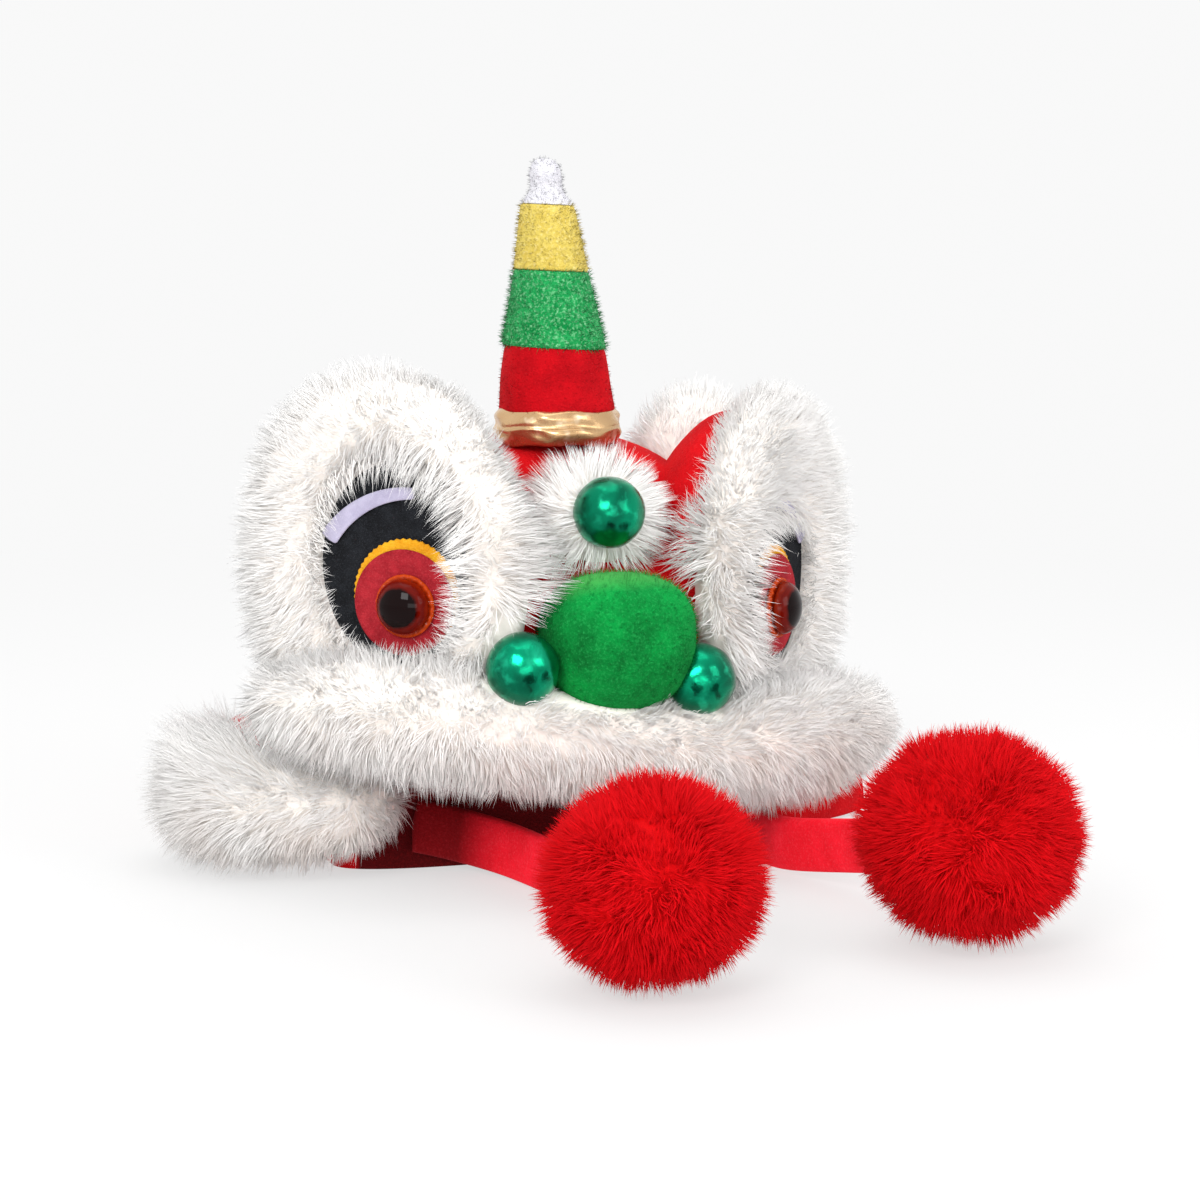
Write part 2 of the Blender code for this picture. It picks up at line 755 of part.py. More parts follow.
def build():
    for old in list(bpy.data.objects):
        bpy.data.objects.remove(old)
    hat = collection("pet_lion_hat")
    cutters = collection("cutters")
    long_reach = LONG_LOCK + GAP

    make_crown(hat, cutters)
    core = tool_of(crown_body(grow=GROWTH), "core", cutters)
    for piece in (make_horn(hat)["horn_red"], make_band(hat)):
        cut(piece, [core])

    nose = ball("nose", "green_velvet", hat, NOSE_MIDDLE, NOSE_HALF, 16, 10)
    cheek_cutters = []
    for side, middle in CHEEK_MIDDLES.items():
        cheek = ball(f"cheek_ball_{side}", "green_foil", hat, middle, (CHEEK_RADIUS,) * 3)
        cheek_cutters.append(cutter_of(cheek, cutters))
    forehead_ball = ball(
        "forehead_ball", "green_foil", hat, FOREHEAD_BALL_MIDDLE, (FOREHEAD_BALL_RADIUS,) * 3
    )
    cut(nose, [core, *cheek_cutters])
    nose_cutter = cutter_of(nose, cutters)

    patch_body = lobe_body(FOREHEAD_FUR_MIDDLE, FOREHEAD_FUR_HALF, 12, 8)
    patch = furry(patch_body, "forehead_fur", "white_fur", hat, SHORT_LOCK, back=(0, 1, 0))
    cut(patch, [core, cutter_of(forehead_ball, cutters), nose_cutter])
    patch_reach = lobe_body(FOREHEAD_FUR_MIDDLE, FOREHEAD_FUR_HALF, 12, 8, SHORT_LOCK + GAP)
    patch_cutter = tool_of(patch_reach, "patch", cutters)

    lip_body = roll_body(LIP_ROWS, 9, 22)
    lip = furry(lip_body, "lip_fur", "white_fur", hat, LONG_LOCK, back=(0, 1, 0))
    wells = {side: tool_of(eye_well(side), f"well_{side}", cutters) for side in SIDES}
    cut(lip, [core, nose_cutter, *cheek_cutters, *wells.values()])
    lip_cutter = tool_of(roll_body(LIP_ROWS, 9, 22, long_reach), "lip", cutters)

    for side in SIDES:
        make_eye(hat, side)
        cushion = make_cushion(hat, side)
        cut(cushion, [core, lip_cutter, patch_cutter])
        cushion_cutter = cutter_of(cushion, cutters)
        inwards = eye_matrix(side).to_3x3() @ Vector((0, 0, -1))
        brow = furry(brow_body(side), f"brow_{side}", "white_fur", hat, LONG_LOCK, back=inwards)
        brow_tools = [core, cushion_cutter, wells[side], lip_cutter, patch_cutter, nose_cutter]
        cut(brow, [*brow_tools, *cheek_cutters])
        beyond_locks = long_reach / math.cos(math.pi / BROW_SIDES)
        brow_cutter = tool_of(brow_body(side, beyond_locks), f"brow_{side}", cutters)

        middle = (SIDES[side] * EAR_MIDDLE[0], EAR_MIDDLE[1], EAR_MIDDLE[2])
        ear_body = lobe_body(middle, EAR_HALF, 11, 8)
        inwards = (-SIDES[side], 0, -0.4)
        ear = furry(ear_body, f"ear_{side}", "white_fur", hat, LONG_LOCK, back=inwards)
        cut(ear, [core, cushion_cutter, brow_cutter])

        flap = make_flap(hat, side)
        cut(flap, [core, lip_cutter, cushion_cutter, brow_cutter])
        flap_cutter = cutter_of(flap, cutters)
        fur_body = roll_body(LOBE_ROWS[side], 9, 11)
        fur = furry(fur_body, f"flap_fur_{side}", "white_fur", hat, LONG_LOCK, floor=FLOOR)
        cut(fur, [core, lip_cutter, flap_cutter])

        x, y, z, wide, high = (value * MM for value in POMPOMS[side])
        pile = lobe_body((x, y, z), (wide, wide, high), 14, 9)
        pompom = furry(pile, f"pompom_{side}", "red_pile", hat, PILE_LOCK, floor=FLOOR)
        strap = make_strap(hat, side)
        cut(strap, [core, lip_cutter, cutter_of(pompom, cutters)])
    stand(hat)


build()
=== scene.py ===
"""The looks of a pet lion hat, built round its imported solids.

Every length in the tables and in the surface functions is in millimetres in the hat's own frame,
whose origin is under the middle of the crown; shift_of_hat gives the way to the part's frame.
A surface is a grid of points that a function of two parameters gives, as whole arrays.
"""

import math

import bpy
import numpy as np
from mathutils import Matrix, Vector


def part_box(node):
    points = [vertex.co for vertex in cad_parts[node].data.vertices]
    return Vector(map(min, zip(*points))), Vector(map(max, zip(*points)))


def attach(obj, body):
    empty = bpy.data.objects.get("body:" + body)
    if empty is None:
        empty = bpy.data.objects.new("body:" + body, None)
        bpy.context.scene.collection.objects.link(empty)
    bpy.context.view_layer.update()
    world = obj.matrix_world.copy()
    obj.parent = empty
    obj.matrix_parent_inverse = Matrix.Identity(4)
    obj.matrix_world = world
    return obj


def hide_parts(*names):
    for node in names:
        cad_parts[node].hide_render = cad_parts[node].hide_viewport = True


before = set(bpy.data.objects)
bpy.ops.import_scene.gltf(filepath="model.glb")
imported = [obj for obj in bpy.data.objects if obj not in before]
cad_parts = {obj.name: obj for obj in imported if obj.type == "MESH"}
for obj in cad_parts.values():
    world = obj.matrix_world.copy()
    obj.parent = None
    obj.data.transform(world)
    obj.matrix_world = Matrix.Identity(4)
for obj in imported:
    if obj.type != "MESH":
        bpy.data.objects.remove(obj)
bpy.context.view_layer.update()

MM = 0.001
SIDES = {"left": -1.0, "right": 1.0}
TURN = 2 * math.pi

# Crown
CROWN_HALF = (60.0, 52.0, 113.0)
CROWN_MIDDLE_Y = 6.0
CROWN_PLAN_POWER = 2.6
CROWN_RISE_POWER = 2.85
CROWN_WALL = 3.0
TUCK_LOW = 18.0
TUCK_HIGH = 36.0
TUCK_SHARE = 0.71

# Horn: rows of radius and height for each stuffed band, from the top down
HORN_X = -0.8
HORN_Y = -7.0
HORN_FOOT = 120.5
HORN_TOP = 185.0
HORN_LEAN = 3.2
HORN_SLOPE = 0.05
HORN_ROWS = {
    "horn_red": (
        (0, 136.2), (8, 136.3), (12.2, 136.3), (13.2, 135.7), (13.9, 131), (14.6, 125.5),
        (15.2, 121.4), (15.2, 120), (13.6, 118), (11.8, 113), (0, 113),
    ),
    "horn_green": (
        (0, 156.1), (6, 156.2), (9.1, 156.1), (9.8, 155.5), (10.6, 151.5), (11.8, 146),
        (12.9, 140), (13.4, 137.3), (13.2, 136.5), (12, 136.3), (0, 136.3),
    ),
    "horn_yellow": (
        (0, 173.1), (4, 173.2), (6.4, 173.1), (7.0, 172.4), (7.7, 168.5), (8.6, 163.5),
        (9.3, 158.5), (9.6, 156.9), (9.3, 156.3), (8, 156.2), (0, 156.2),
    ),
    "horn_tip": (
        (0, 185), (1.5, 184.9), (3.0, 184.0), (3.9, 182.3), (4.2, 180.4), (4.2, 178.2),
        (4.7, 176.2), (5.9, 174.4), (6.5, 173.5), (5.8, 173.2), (0, 173.2),
    ),
}
HORN_NAPS = {
    # look, length and number of the nap's hairs
    "horn_red": ("horn_red", 0.8, 1800),
    "horn_green": ("green_plush", 1.7, 4000),
    "horn_yellow": ("yellow_plush", 1.4, 2200),
    "horn_tip": ("white_plush", 1.1, 900),
}
BAND_FOOT = 111.3
BAND_TOP = 120.4
BAND_RADIUS = 16.6
BAND_INNER = 12.6

# Nose, balls, forehead patch and ears: middle and half sizes
NOSE_MIDDLE = np.array([-1.2, -50.0, 64.5])
NOSE_HALF = (19.6, 16.0, 17.4)
BALLS = {
    # middle x, y, z and radius
    "cheek_ball_left": (-28.5, -55.0, 60.0, 9.2),
    "cheek_ball_right": (19.3, -55.0, 54.5, 9.2),
    "forehead_ball": (-1.0, -44.0, 96.5, 9.1),
}
FOREHEAD_FUR_MIDDLE = (-1.0, -34.0, 94.0)
FOREHEAD_FUR_HALF = (16.0, 8.0, 14.0)
EAR_MIDDLE = (48.0, 12.0, 98.0)
EAR_HALF = (20.0, 15.0, 25.0)

# Eyes, in the eye's frame: x outwards along the hat, y up, z out of the eye
EYE_X = 49.5
EYE_Y = -30.9
EYE_Z = {"left": 74.0, "right": 68.0}
EYE_TURN = math.radians(42)
PAD_MIDDLE = (4.0, 9.5)
PAD_HALF = (20.5, 26.0)
PAD_LEVELS = (-2.0, 0.0)
CRESCENT_ANGLES = (math.radians(35), math.radians(94))
CRESCENT_OUTER = 29.6
CRESCENT_INNER = (24.6, 26.6)
CRESCENT_LEVELS = (0.3, 1.2)
CRESCENT_FLAT = (12.0, 28.0)
DISC_ROWS = (
    # share of the radius, share of the height
    (0, 1), (0.4, 1), (0.8, 1), (0.95, 1), (0.985, 0.92), (1, 0.6), (1, 0.4), (0.985, 0.08),
    (0.95, 0), (0.5, 0), (0, 0),
)
DISCS = {
    # middle x, y, radius, low, high, teeth, depth of the teeth
    "eye_yellow": (0.6, 2.2, 14.6, 0.3, 1.2, 52, 0.4),
    "eye_red": (0.9, 0.6, 13.5, 1.5, 2.4, 0, 0.0),
}
RIM_LEVELS = (2.7, 4.3)
RIM_FACETS = 24
RIM_ROWS = (
    (0, 1), (0.6, 1), (0.78, 1), (0.86, 0.7), (0.93, 1), (0.985, 0.75), (1, 0.4), (0.97, 0),
    (0.5, 0), (0, 0),
)
RIM_RADIUS = 8.0
DOME_LEVEL = 4.6
DOME_RADIUS = 7.0
DOME_RISE = 4.6

# Brow loops and the cushions behind them, in the eye's frame
BROW_SHAPES = {
    # middle x, y, half width and height of the centreline, roll's radius outside, inside and on top
    "left": (8.5, 9.5, 26.5, 37.0, 12.0, 9.0, 11.2),
    "right": (11.5, 9.5, 25.5, 33.5, 13.0, 8.0, 12.5),
}
BROW_LEVEL = -5.0
BROW_FLAT = 9.5
WELL_HALF = (21.0, 26.5)
# The height of the free oval's upper half as a share: the right brow sags over its eye
WELL_TOP = {"left": 1.0, "right": 0.5}
BROW_SAG = {"left": 0.0, "right": 13.0}
# How far each loop spreads towards the nose
BROW_SPREAD = {"left": 4.5, "right": 8.0}
BROW_SQUARE = 0.88
CUSHION_MIDDLE = (8.0, 9.5)
CUSHION_OVAL = 1.22
CUSHION_ROWS = (
    # radius, level
    (0, -2.3), (12, -2.3), (20, -2.3), (24, -5), (32, -10), (34, -15), (31, -22), (22, -31),
    (10, -34), (0, -34),
)

# Rolls of fur: x, y, z, half height, half depth
LIP_ROWS = (
    (-86, -14, 50, 13.0, 11.5),
    (-66, -31, 49, 14.0, 12.0),
    (-36, -48, 45, 14.0, 12.0),
    (0, -55, 39, 12.5, 11.5),
    (36, -48, 35, 14.0, 12.0),
    (67, -31, 34, 15.0, 12.0),
    (92, -12, 33, 14.0, 11.5),
)
LOBE_ROWS = {
    "left": (
        (-47, -17, 22, 11.5, 9.0),
        (-64, -12, 21.5, 13.5, 12.0),
        (-80, 0, 20.5, 14.5, 13.0),
        (-88, 17, 20, 14.5, 13.0),
        (-84, 38, 19, 14.0, 12.0),
    ),
    "right": (
        (76, 18, 18, 13.5, 10.0),
        (88, 26, 19, 14.0, 12.0),
        (90, 44, 19, 14.0, 13.0),
    ),
}
FLAP_WALL = 2.5
FLAP_EDGES = {
    # the line along the crown and the line along the free edge
    "left": (
        ((-50, -12, 42), (-56, -2, 43), (-57, 12, 44), (-56, 26, 44)),
        ((-68, -16, 34), (-79, -3, 34), (-84, 12, 35), (-82, 28, 36)),
    ),
    "right": (
        ((57, 4, 32), (72, 2, 32), (86, 5, 30), (97, 11, 27)),
        ((57, 4, 0.6), (73, 0, 0.6), (89, 5, 0.6), (101, 12, 0.6)),
    ),
}
STRAP_HALF_WIDTH = 7.0
STRAP_HALF_THICK = 2.2
STRAP_ROWS = {
    "left": (
        (-42, -7.5, 12), (-31, -13, 9.5), (-22, -30, 8), (-18, -58, 7.4), (-21, -88, 7.4),
        (-26, -112, 10.5), (-28, -126, 15),
    ),
    "right": (
        (41, -7, 12), (47, -19, 9.5), (47, -34, 7.6), (47, -50, 8.4), (53, -72, 12),
        (56, -96, 17), (55.5, -112, 21),
    ),
}
POMPOMS = {
    # middle x, y, z, then half width and half height
    "left": (-28.6, -138.0, 25.5, 23.5, 21.7),
    "right": (55.0, -131.0, 27.1, 25.0, 23.2),
}

# Hair: its own share in its shading, the sky's pull on it, and the short hairs' length and width
OWN_SHADE = 0.18
SKYWARDS = np.array([0, 0, 0.34])
SHORT_SHARE = 0.8
SHORT_WIDER = 1.25
# The tint of a surface without hairs, and how far a backing lies below its fur's own surface
PLAIN_TINT = 0.6
BACKING = 1.8
# Where a strap's painted shade ends, as a share of its length, and how softly
STRAP_SHADE = (0.31, 0.13)
# Where the lip's fur parts: x and height
LIP_PARTING = ((-86, -36, 0, 36, 92), (50, 45, 39, 35, 33))
# The way to the photograph's camera, and one that rises over it
TO_CAMERA = np.array([-0.37, -0.92, 0.15])
OVER_CAMERA = np.array([-0.37, -0.92, 0.3])
# Lumps that tips keep out of: how far towards the camera and down from the nose, and the margin
NOSE_CLEAR = ((0, 0, 0.8), (7, 1.5, -1.0), (14, 1.5, -1.0))
BAND_CLEAR_MIDDLE = np.array([HORN_X, HORN_Y, 116.0])
BAND_CLEAR_HALF = (17.5, 17.5, 5.6)


def shift_of_hat():
    """From the hat's frame to the part's, in millimetres, read off the box of the crown."""
    low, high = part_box("crown")
    return np.array([(low.x + high.x) / 2 / MM, high.y / MM - CROWN_MIDDLE_Y - CROWN_HALF[1], 0])


SHIFT = shift_of_hat()


# ---- arrays ----


def signed_power(value, power):
    return np.sign(value) * np.abs(value) ** power


def unit(vectors):
    length = np.linalg.norm(vectors, axis=-1, keepdims=True)
    return vectors / np.maximum(length, 1e-9)


def smooth_line(rows, share):
    """The values of a smooth curve through the rows, at shares from 0 to 1, evenly by row.

    Between rows b and c, with a before and d after, at t from 0 to 1, it is half of
    2b + (c - a)t + (2a - 5b + 4c - d)t^2 + (3b - a - 3c + d)t^3.
    """
    rows = np.asarray(rows, float)
    last = len(rows) - 1
    place = np.clip(np.asarray(share, float), 0, 1) * last
    i = np.minimum(place.astype(int), last - 1)
    t = (place - i)[..., None]
    rows = np.vstack([2 * rows[0] - rows[1], rows, 2 * rows[-1] - rows[-2]])
    a, b, c, d = rows[i], rows[i + 1], rows[i + 2], rows[i + 3]
    return 0.5 * (
        2 * b
        + (c - a) * t
        + (2 * a - 5 * b + 4 * c - d) * t**2
        + (3 * b - a - 3 * c + d) * t**3
    )


def ripple(points, size, seed):
    """A smooth value from -1 to 1 over space: the mean of 7 sines of places along seeded lines."""
    rng = np.random.default_rng(seed)
    lines = unit(rng.normal(size=(7, 3))) * TURN / (size * rng.uniform(0.7, 1.5, (7, 1)))
    return np.sin(points @ lines.T + rng.uniform(0, TURN, 7)).mean(axis=-1) * 1.6


def grid_of(rows, columns, wrapped=True):
    """Two arrays of parameters: down from 0 to 1 with both ends, and round from 0 to 1."""
    down = np.linspace(0, 1, rows)[:, None] * np.ones(columns)
    around = np.arange(columns) / (columns if wrapped else columns - 1)
    return down, np.ones((rows, 1)) * around


def skin(points, poles=(), wrap_rows=False, kept=False):
    """Vertices and triangles of a grid whose columns close round; each pole row is one point.

    With kept, also the places in the grid that the vertices came from.
    """
    rows, columns = points.shape[:2]
    index = np.arange(rows * columns).reshape(rows, columns)
    for row in poles:
        index[row] = index[row, 0]
    index = np.hstack([index, index[:, :1]])
    if wrap_rows:
        index = np.vstack([index, index[:1]])
    a, b, c, d = index[:-1, :-1], index[1:, :-1], index[1:, 1:], index[:-1, 1:]
    faces = np.concatenate([np.stack([a, b, c], -1), np.stack([a, c, d], -1)]).reshape(-1, 3)
    faces = faces[(faces != np.roll(faces, 1, axis=1)).all(axis=1)]
    used, faces = np.unique(faces, return_inverse=True)
    faces = faces.reshape(-1, 3)
    verts = points.reshape(-1, 3)[used]
    p, q, r = (verts[faces[:, i]] for i in range(3))
    if (p * np.cross(q, r)).sum() < 0:
        faces = faces[:, ::-1]
    return (verts, faces, used) if kept else (verts, faces)


def make(name, parts, look, nodes):
    """One object from parts of vertices, triangles, reach, tint and shading directions.

    Reach is 0 at a hair's root and 1 at its tip, or a mask on a bare surface; tint differs from
    hair to hair. A part without directions is shaded by its own surface.
    """
    rows = []
    start = 0
    for verts, faces, *rest in parts:
        count = len(verts)
        plain_rows = [np.zeros(count), np.full(count, PLAIN_TINT), np.zeros((count, 3))]
        rows.append((verts, faces + start, *rest, *plain_rows[len(rest):]))
        start += count
    verts, faces, reach, tint, facing = (np.concatenate(column) for column in zip(*rows))
    verts = (verts + SHIFT) * MM
    faces = faces.astype(np.int32)
    mesh = bpy.data.meshes.new(name)
    mesh.vertices.add(len(verts))
    mesh.vertices.foreach_set("co", verts.astype(np.float32).ravel())
    mesh.loops.add(faces.size)
    mesh.loops.foreach_set("vertex_index", faces.ravel())
    mesh.polygons.add(len(faces))
    mesh.polygons.foreach_set("loop_start", np.arange(0, faces.size, 3, dtype=np.int32))
    mesh.update(calc_edges=True)
    for label, values in (("reach", reach), ("tint", tint)):
        attribute = mesh.attributes.new(label, "FLOAT", "POINT")
        attribute.data.foreach_set("value", values.astype(np.float32))
    mesh.shade_smooth()
    if facing.any():
        mesh.normals_split_custom_set_from_vertices(facing.tolist())
    mesh.materials.append(look)
    made = bpy.data.objects.new(name, mesh)
    bpy.context.scene.collection.objects.link(made)
    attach(made, "root")
    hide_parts(*nodes)
    return made


def eye_axes(side):
    """The origin of an eye's frame and its three directions, as rows."""
    sign = SIDES[side]
    outer = (sign * math.cos(EYE_TURN), math.sin(EYE_TURN), 0)
    out = (sign * math.sin(EYE_TURN), -math.cos(EYE_TURN), 0)
    return np.array([sign * EYE_X, EYE_Y, EYE_Z[side]]), np.array([outer, (0, 0, 1), out])


def from_eye(side, points):
    origin, axes = eye_axes(side)
    return points @ axes + origin


def to_eye(side, points):
    origin, axes = eye_axes(side)
    return (points - origin) @ axes.T


# ---- surfaces ----


def tucked(y, z):
    """The front of the crown turned inwards below the lip; y is from the crown's middle."""
    share = np.clip((TUCK_HIGH - z) / (TUCK_HIGH - TUCK_LOW), 0, 1)
    return np.where(y < 0, y * (1 - TUCK_SHARE * share), y)


def crown_points(grow, rise, around):
    """The dome: at a height of h half heights, x^2.6 + y^2.6 = reach^2.6 in half sizes, and
    reach^2.85 + h^2.85 = 1."""
    height = np.sin(rise * TURN / 4)
    reach = (1 - height**CROWN_RISE_POWER).clip(0) ** (1 / CROWN_RISE_POWER)
    z = (CROWN_HALF[2] + grow) * height
    cos = signed_power(np.cos(TURN * around), 2 / CROWN_PLAN_POWER)
    sin = signed_power(np.sin(TURN * around), 2 / CROWN_PLAN_POWER)
    x = (CROWN_HALF[0] + grow) * reach * cos
    y = tucked(CROWN_HALF[1] * reach * sin, z) + grow * sin + CROWN_MIDDLE_Y
    return np.stack([x, y, z], -1)


def crown_shell():
    """The crown's outer skin up to its top and its inner skin down again, closed at the floor.

    Its mask is 1 on the painted shade: on the inner skin, the lining, and on the front where it is
    tucked in under the lip.
    """
    rise, around = grid_of(38, 104)
    outer = crown_points(0.0, rise, around)
    inner = crown_points(-CROWN_WALL, rise, around)
    # Painted shade in dark red: on the tucked-in front below the lip, and on the whole inner skin
    tuck_shade = np.clip((TUCK_HIGH + 3 - outer[..., 2]) / 8, 0, 1) * (outer[..., 1] < CROWN_MIDDLE_Y - 8)
    outer += 0.35 * ripple(outer, 26, 3)[..., None] * unit(outer - [0, CROWN_MIDDLE_Y, 20])
    outer[0, :, 2] = 0.05
    inner[0, :, 2] = 0.05
    points = np.concatenate([outer, inner[::-1]])
    painted_shade = np.concatenate([tuck_shade, 0 * tuck_shade + 1])
    verts, faces, used = skin(points, poles=(37, 38), wrap_rows=True, kept=True)
    return verts, faces, painted_shade.ravel()[used]


def inside_crown(points, margin=0.0):
    """Which points lie in the crown's outer skin, grown by the margin."""
    x, y, z = points.T
    low = np.abs(z) / (CROWN_HALF[2] + margin)
    y = y - CROWN_MIDDLE_Y
    share = np.clip((TUCK_HIGH - z) / (TUCK_HIGH - TUCK_LOW), 0, 1)
    y = np.where(y < 0, y / (1 - TUCK_SHARE * share), y)
    flat = (np.abs(x) / (CROWN_HALF[0] + margin)) ** CROWN_PLAN_POWER
    flat += (np.abs(y) / (CROWN_HALF[1] + margin)) ** CROWN_PLAN_POWER
    return flat ** (CROWN_RISE_POWER / CROWN_PLAN_POWER) + low**CROWN_RISE_POWER < 1


def turned(rows, columns=72, fine=3):
    """A profile of radius and height turned round the vertical: x = r cos a, y = r sin a."""
    steps = (len(rows) - 1) * fine + 1
    down, around = grid_of(steps, columns)
    radius, height = np.moveaxis(smooth_line(rows, down), -1, 0)
    radius = np.maximum(radius, 0)
    radius[0] = radius[-1] = 0
    angle = TURN * around
    return np.stack([radius * np.cos(angle), radius * np.sin(angle), height], -1)


def leaned(points):
    """The horn's lean: to the left by 3.2 times share^1.2, and seams that slope with x."""
    share = np.clip((points[..., 2] - HORN_FOOT) / (HORN_TOP - HORN_FOOT), 0, None)
    slope = HORN_SLOPE * np.clip((points[..., 2] - HORN_FOOT) / 12, 0, 1)
    out = points.copy()
    out[..., 2] -= points[..., 0] * slope
    out[..., 0] += HORN_X - HORN_LEAN * share**1.2
    out[..., 1] += HORN_Y
    return out


def horn_points(name):
    """A stuffed band of the horn: turned, with a slightly uneven filling."""
    points = turned(HORN_ROWS[name])
    uneven = 0.02 * ripple(points, 14, len(name))[..., None]
    points[..., :2] *= 1 + uneven
    return leaned(points)


def band_points():
    """The gold band: a ring whose outside is gathered in long soft folds that run round it.

    At angle a and height share h, the radius swells by sines of 1 to 3 folds across h, whose
    places wander with a, and both edges rise and fall with a.
    """
    across, around = grid_of(48, 180)
    angle = TURN * around
    ring = TURN * across
    outer = 0.5 + 0.5 * np.cos(ring)
    height = np.clip(0.5 - 0.62 * np.sin(ring), 0, 1)
    wander = 0.4 * np.sin(2 * angle + 0.6) + 0.16 * np.sin(5 * angle + 2)
    folds = 0.4 * np.sin(TURN * (1.35 * height + wander))
    folds += 0.14 * np.sin(TURN * (2.5 * height - 1.2 * wander) + 1.3)
    folds += 0.05 * np.sin(13 * angle + 5 * height)
    bulge = 1 - (2 * height - 1) ** 4
    face = outer**0.35
    radius = BAND_INNER + (BAND_RADIUS - 1.3 - BAND_INNER + 1.3 * bulge) * face
    radius += folds * face * (0.35 + 0.65 * bulge)
    low = BAND_FOOT + 0.35 * np.sin(3 * angle + 1) + 0.25 * np.sin(7 * angle)
    high = BAND_TOP + 0.3 * np.sin(2 * angle) + 0.2 * np.sin(8 * angle + 2)
    z = low + (high - low) * height
    return leaned(np.stack([radius * np.cos(angle), radius * np.sin(angle), z], -1))


def lump(middle, half, rows=32, columns=52, power=2.0, uneven=0.0, seed=1, size=0.9):
    """An ellipsoid of a power: each of x, y, z is its half size times a signed power of the
    sphere's own, moved outwards by a ripple."""
    down, around = grid_of(rows, columns)
    polar = math.pi * down
    angle = TURN * around
    sphere = np.stack(
        [np.sin(polar) * np.cos(angle), np.sin(polar) * np.sin(angle), np.cos(polar)], -1
    )
    sphere *= (np.abs(sphere) ** power).sum(-1, keepdims=True) ** (-1 / power)
    points = sphere * half
    points *= 1 + uneven * ripple(points, size * max(half), seed)[..., None]
    return points + middle


def roll(rows, steps=72, columns=44, grow=0.0, uneven=0.0, seed=1, size=24):
    """A round-ended roll: an oval of half depth and half height carried along the rows' line,
    times (1 - z^5)^0.5 at z from 1 at its start to -1 at its end."""
    rows = np.asarray(rows, float)
    down, around = grid_of(steps, columns)
    z = np.cos(math.pi * down)
    share = 0.5 - 0.5 * z
    here = smooth_line(rows, share)
    ahead = smooth_line(rows, share + 0.01) - smooth_line(rows, share - 0.01)
    forward = unit(ahead[..., :3])
    side = unit(np.stack([forward[..., 1], -forward[..., 0], 0 * share], -1))
    up = np.cross(side, forward)
    angle = TURN * around
    out = side * (np.cos(angle) * (here[..., 4] + grow))[..., None]
    out += up * (np.sin(angle) * (here[..., 3] + grow))[..., None]
    out *= ((1 - np.abs(z) ** 5).clip(0) ** 0.5)[..., None]
    points = here[..., :3] + out - forward * (grow * z)[..., None]
    if uneven:
        points += uneven * ripple(points, size, seed)[..., None] * unit(out)
    return points


def well_size(side, places):
    """The half width and half height of the oval that the fur leaves free before an eye, and 1;
    above its middle the height is less by its own share."""
    high = np.where(places[..., 1] > 0, WELL_TOP[side], 1.0) * WELL_HALF[1]
    return np.stack([0 * high + WELL_HALF[0], high, 0 * high + 1], -1)


def well_of(side, points):
    """Places before an eye: x and y as shares of the free oval, and the level out of the eye."""
    local = to_eye(side, points) - [*PAD_MIDDLE, 0]
    return local / well_size(side, local)


def from_well(side, well):
    return from_eye(side, well * well_size(side, well) + [*PAD_MIDDLE, 0])


def out_of_well(side, points):
    """Points in the space before an eye, moved straight out to the oval that bounds it."""
    well = well_of(side, points)
    oval = np.hypot(well[..., 0], well[..., 1])
    inside = (oval < 1) & (well[..., 2] > -4) & (well[..., 2] < 30)
    well[..., :2] *= np.where(inside, 1 / np.maximum(oval, 0.05), 1)[..., None]
    return from_well(side, well)


def brow_points(side, grow=0.0, uneven=0.0, rows=44, columns=132):
    """A loop round an eye: a round section carried round an ellipse, wider outside than inside,
    spread towards the nose, sagging at the top, and kept out of the space before the eye."""
    middle_x, middle_y, half_width, half_height, outside, inside, top = BROW_SHAPES[side]
    _, around = grid_of(rows, columns)
    over = np.linspace(0, TURN, rows, endpoint=False)[:, None] * np.ones(columns)
    across = signed_power(np.cos(TURN * around), BROW_SQUARE)
    rise = signed_power(np.sin(TURN * around), BROW_SQUARE)
    wide = (outside + inside) / 2 + (outside - inside) / 2 * across
    wide = wide + (top - wide) * np.maximum(rise, 0) ** 2 + grow
    near = np.clip(-across, 0, 1) ** 1.5 * np.clip(1 - (rise + 0.35) ** 2, 0, 1)
    outwards = wide * np.cos(over) + BROW_SPREAD[side] * near * np.maximum(np.cos(over), 0)
    sag = BROW_SAG[side] * np.maximum(-np.cos(over), 0) * np.maximum(rise, 0) ** 2
    x = middle_x + (half_width + outwards) * across
    y = middle_y + (half_height + outwards - sag) * rise
    z = BROW_LEVEL + (BROW_FLAT + grow) * np.sin(over)
    points = np.stack([x, y, z], -1)
    middle = np.stack([middle_x + half_width * across, middle_y + half_height * rise, 0 * z], -1)
    points += uneven * ripple(points, 6, 7)[..., None] * unit(points - middle - [0, 0, BROW_LEVEL])
    return out_of_well(side, from_eye(side, points))


def cushion_points(side):
    """The cushion behind an eye: its profile turned round the eye's axis and made oval."""
    points = turned(CUSHION_ROWS, 80, 4)
    points[..., 1] *= CUSHION_OVAL
    points[..., :2] += CUSHION_MIDDLE
    points += 0.4 * ripple(points, 30, 5)[..., None] * [0, 0, 1]
    return from_eye(side, points)


def turned_in_eye(side, reach, level, half=(1, 1), middle=(0, 0)):
    """A form round an eye's axis: x and y are the middle + half size x reach x cos and sin."""
    angle = TURN * np.arange(reach.shape[1]) / reach.shape[1]
    x = middle[0] + half[0] * reach * np.cos(angle)
    y = middle[1] + half[1] * reach * np.sin(angle)
    return from_eye(side, np.stack([x, y, level + 0 * angle], -1))


def zigzag(columns, count):
    """From 1 to 0 and back in each of a count of equal parts of the turn."""
    return np.abs(np.arange(columns) / columns * count % 1 * 2 - 1)


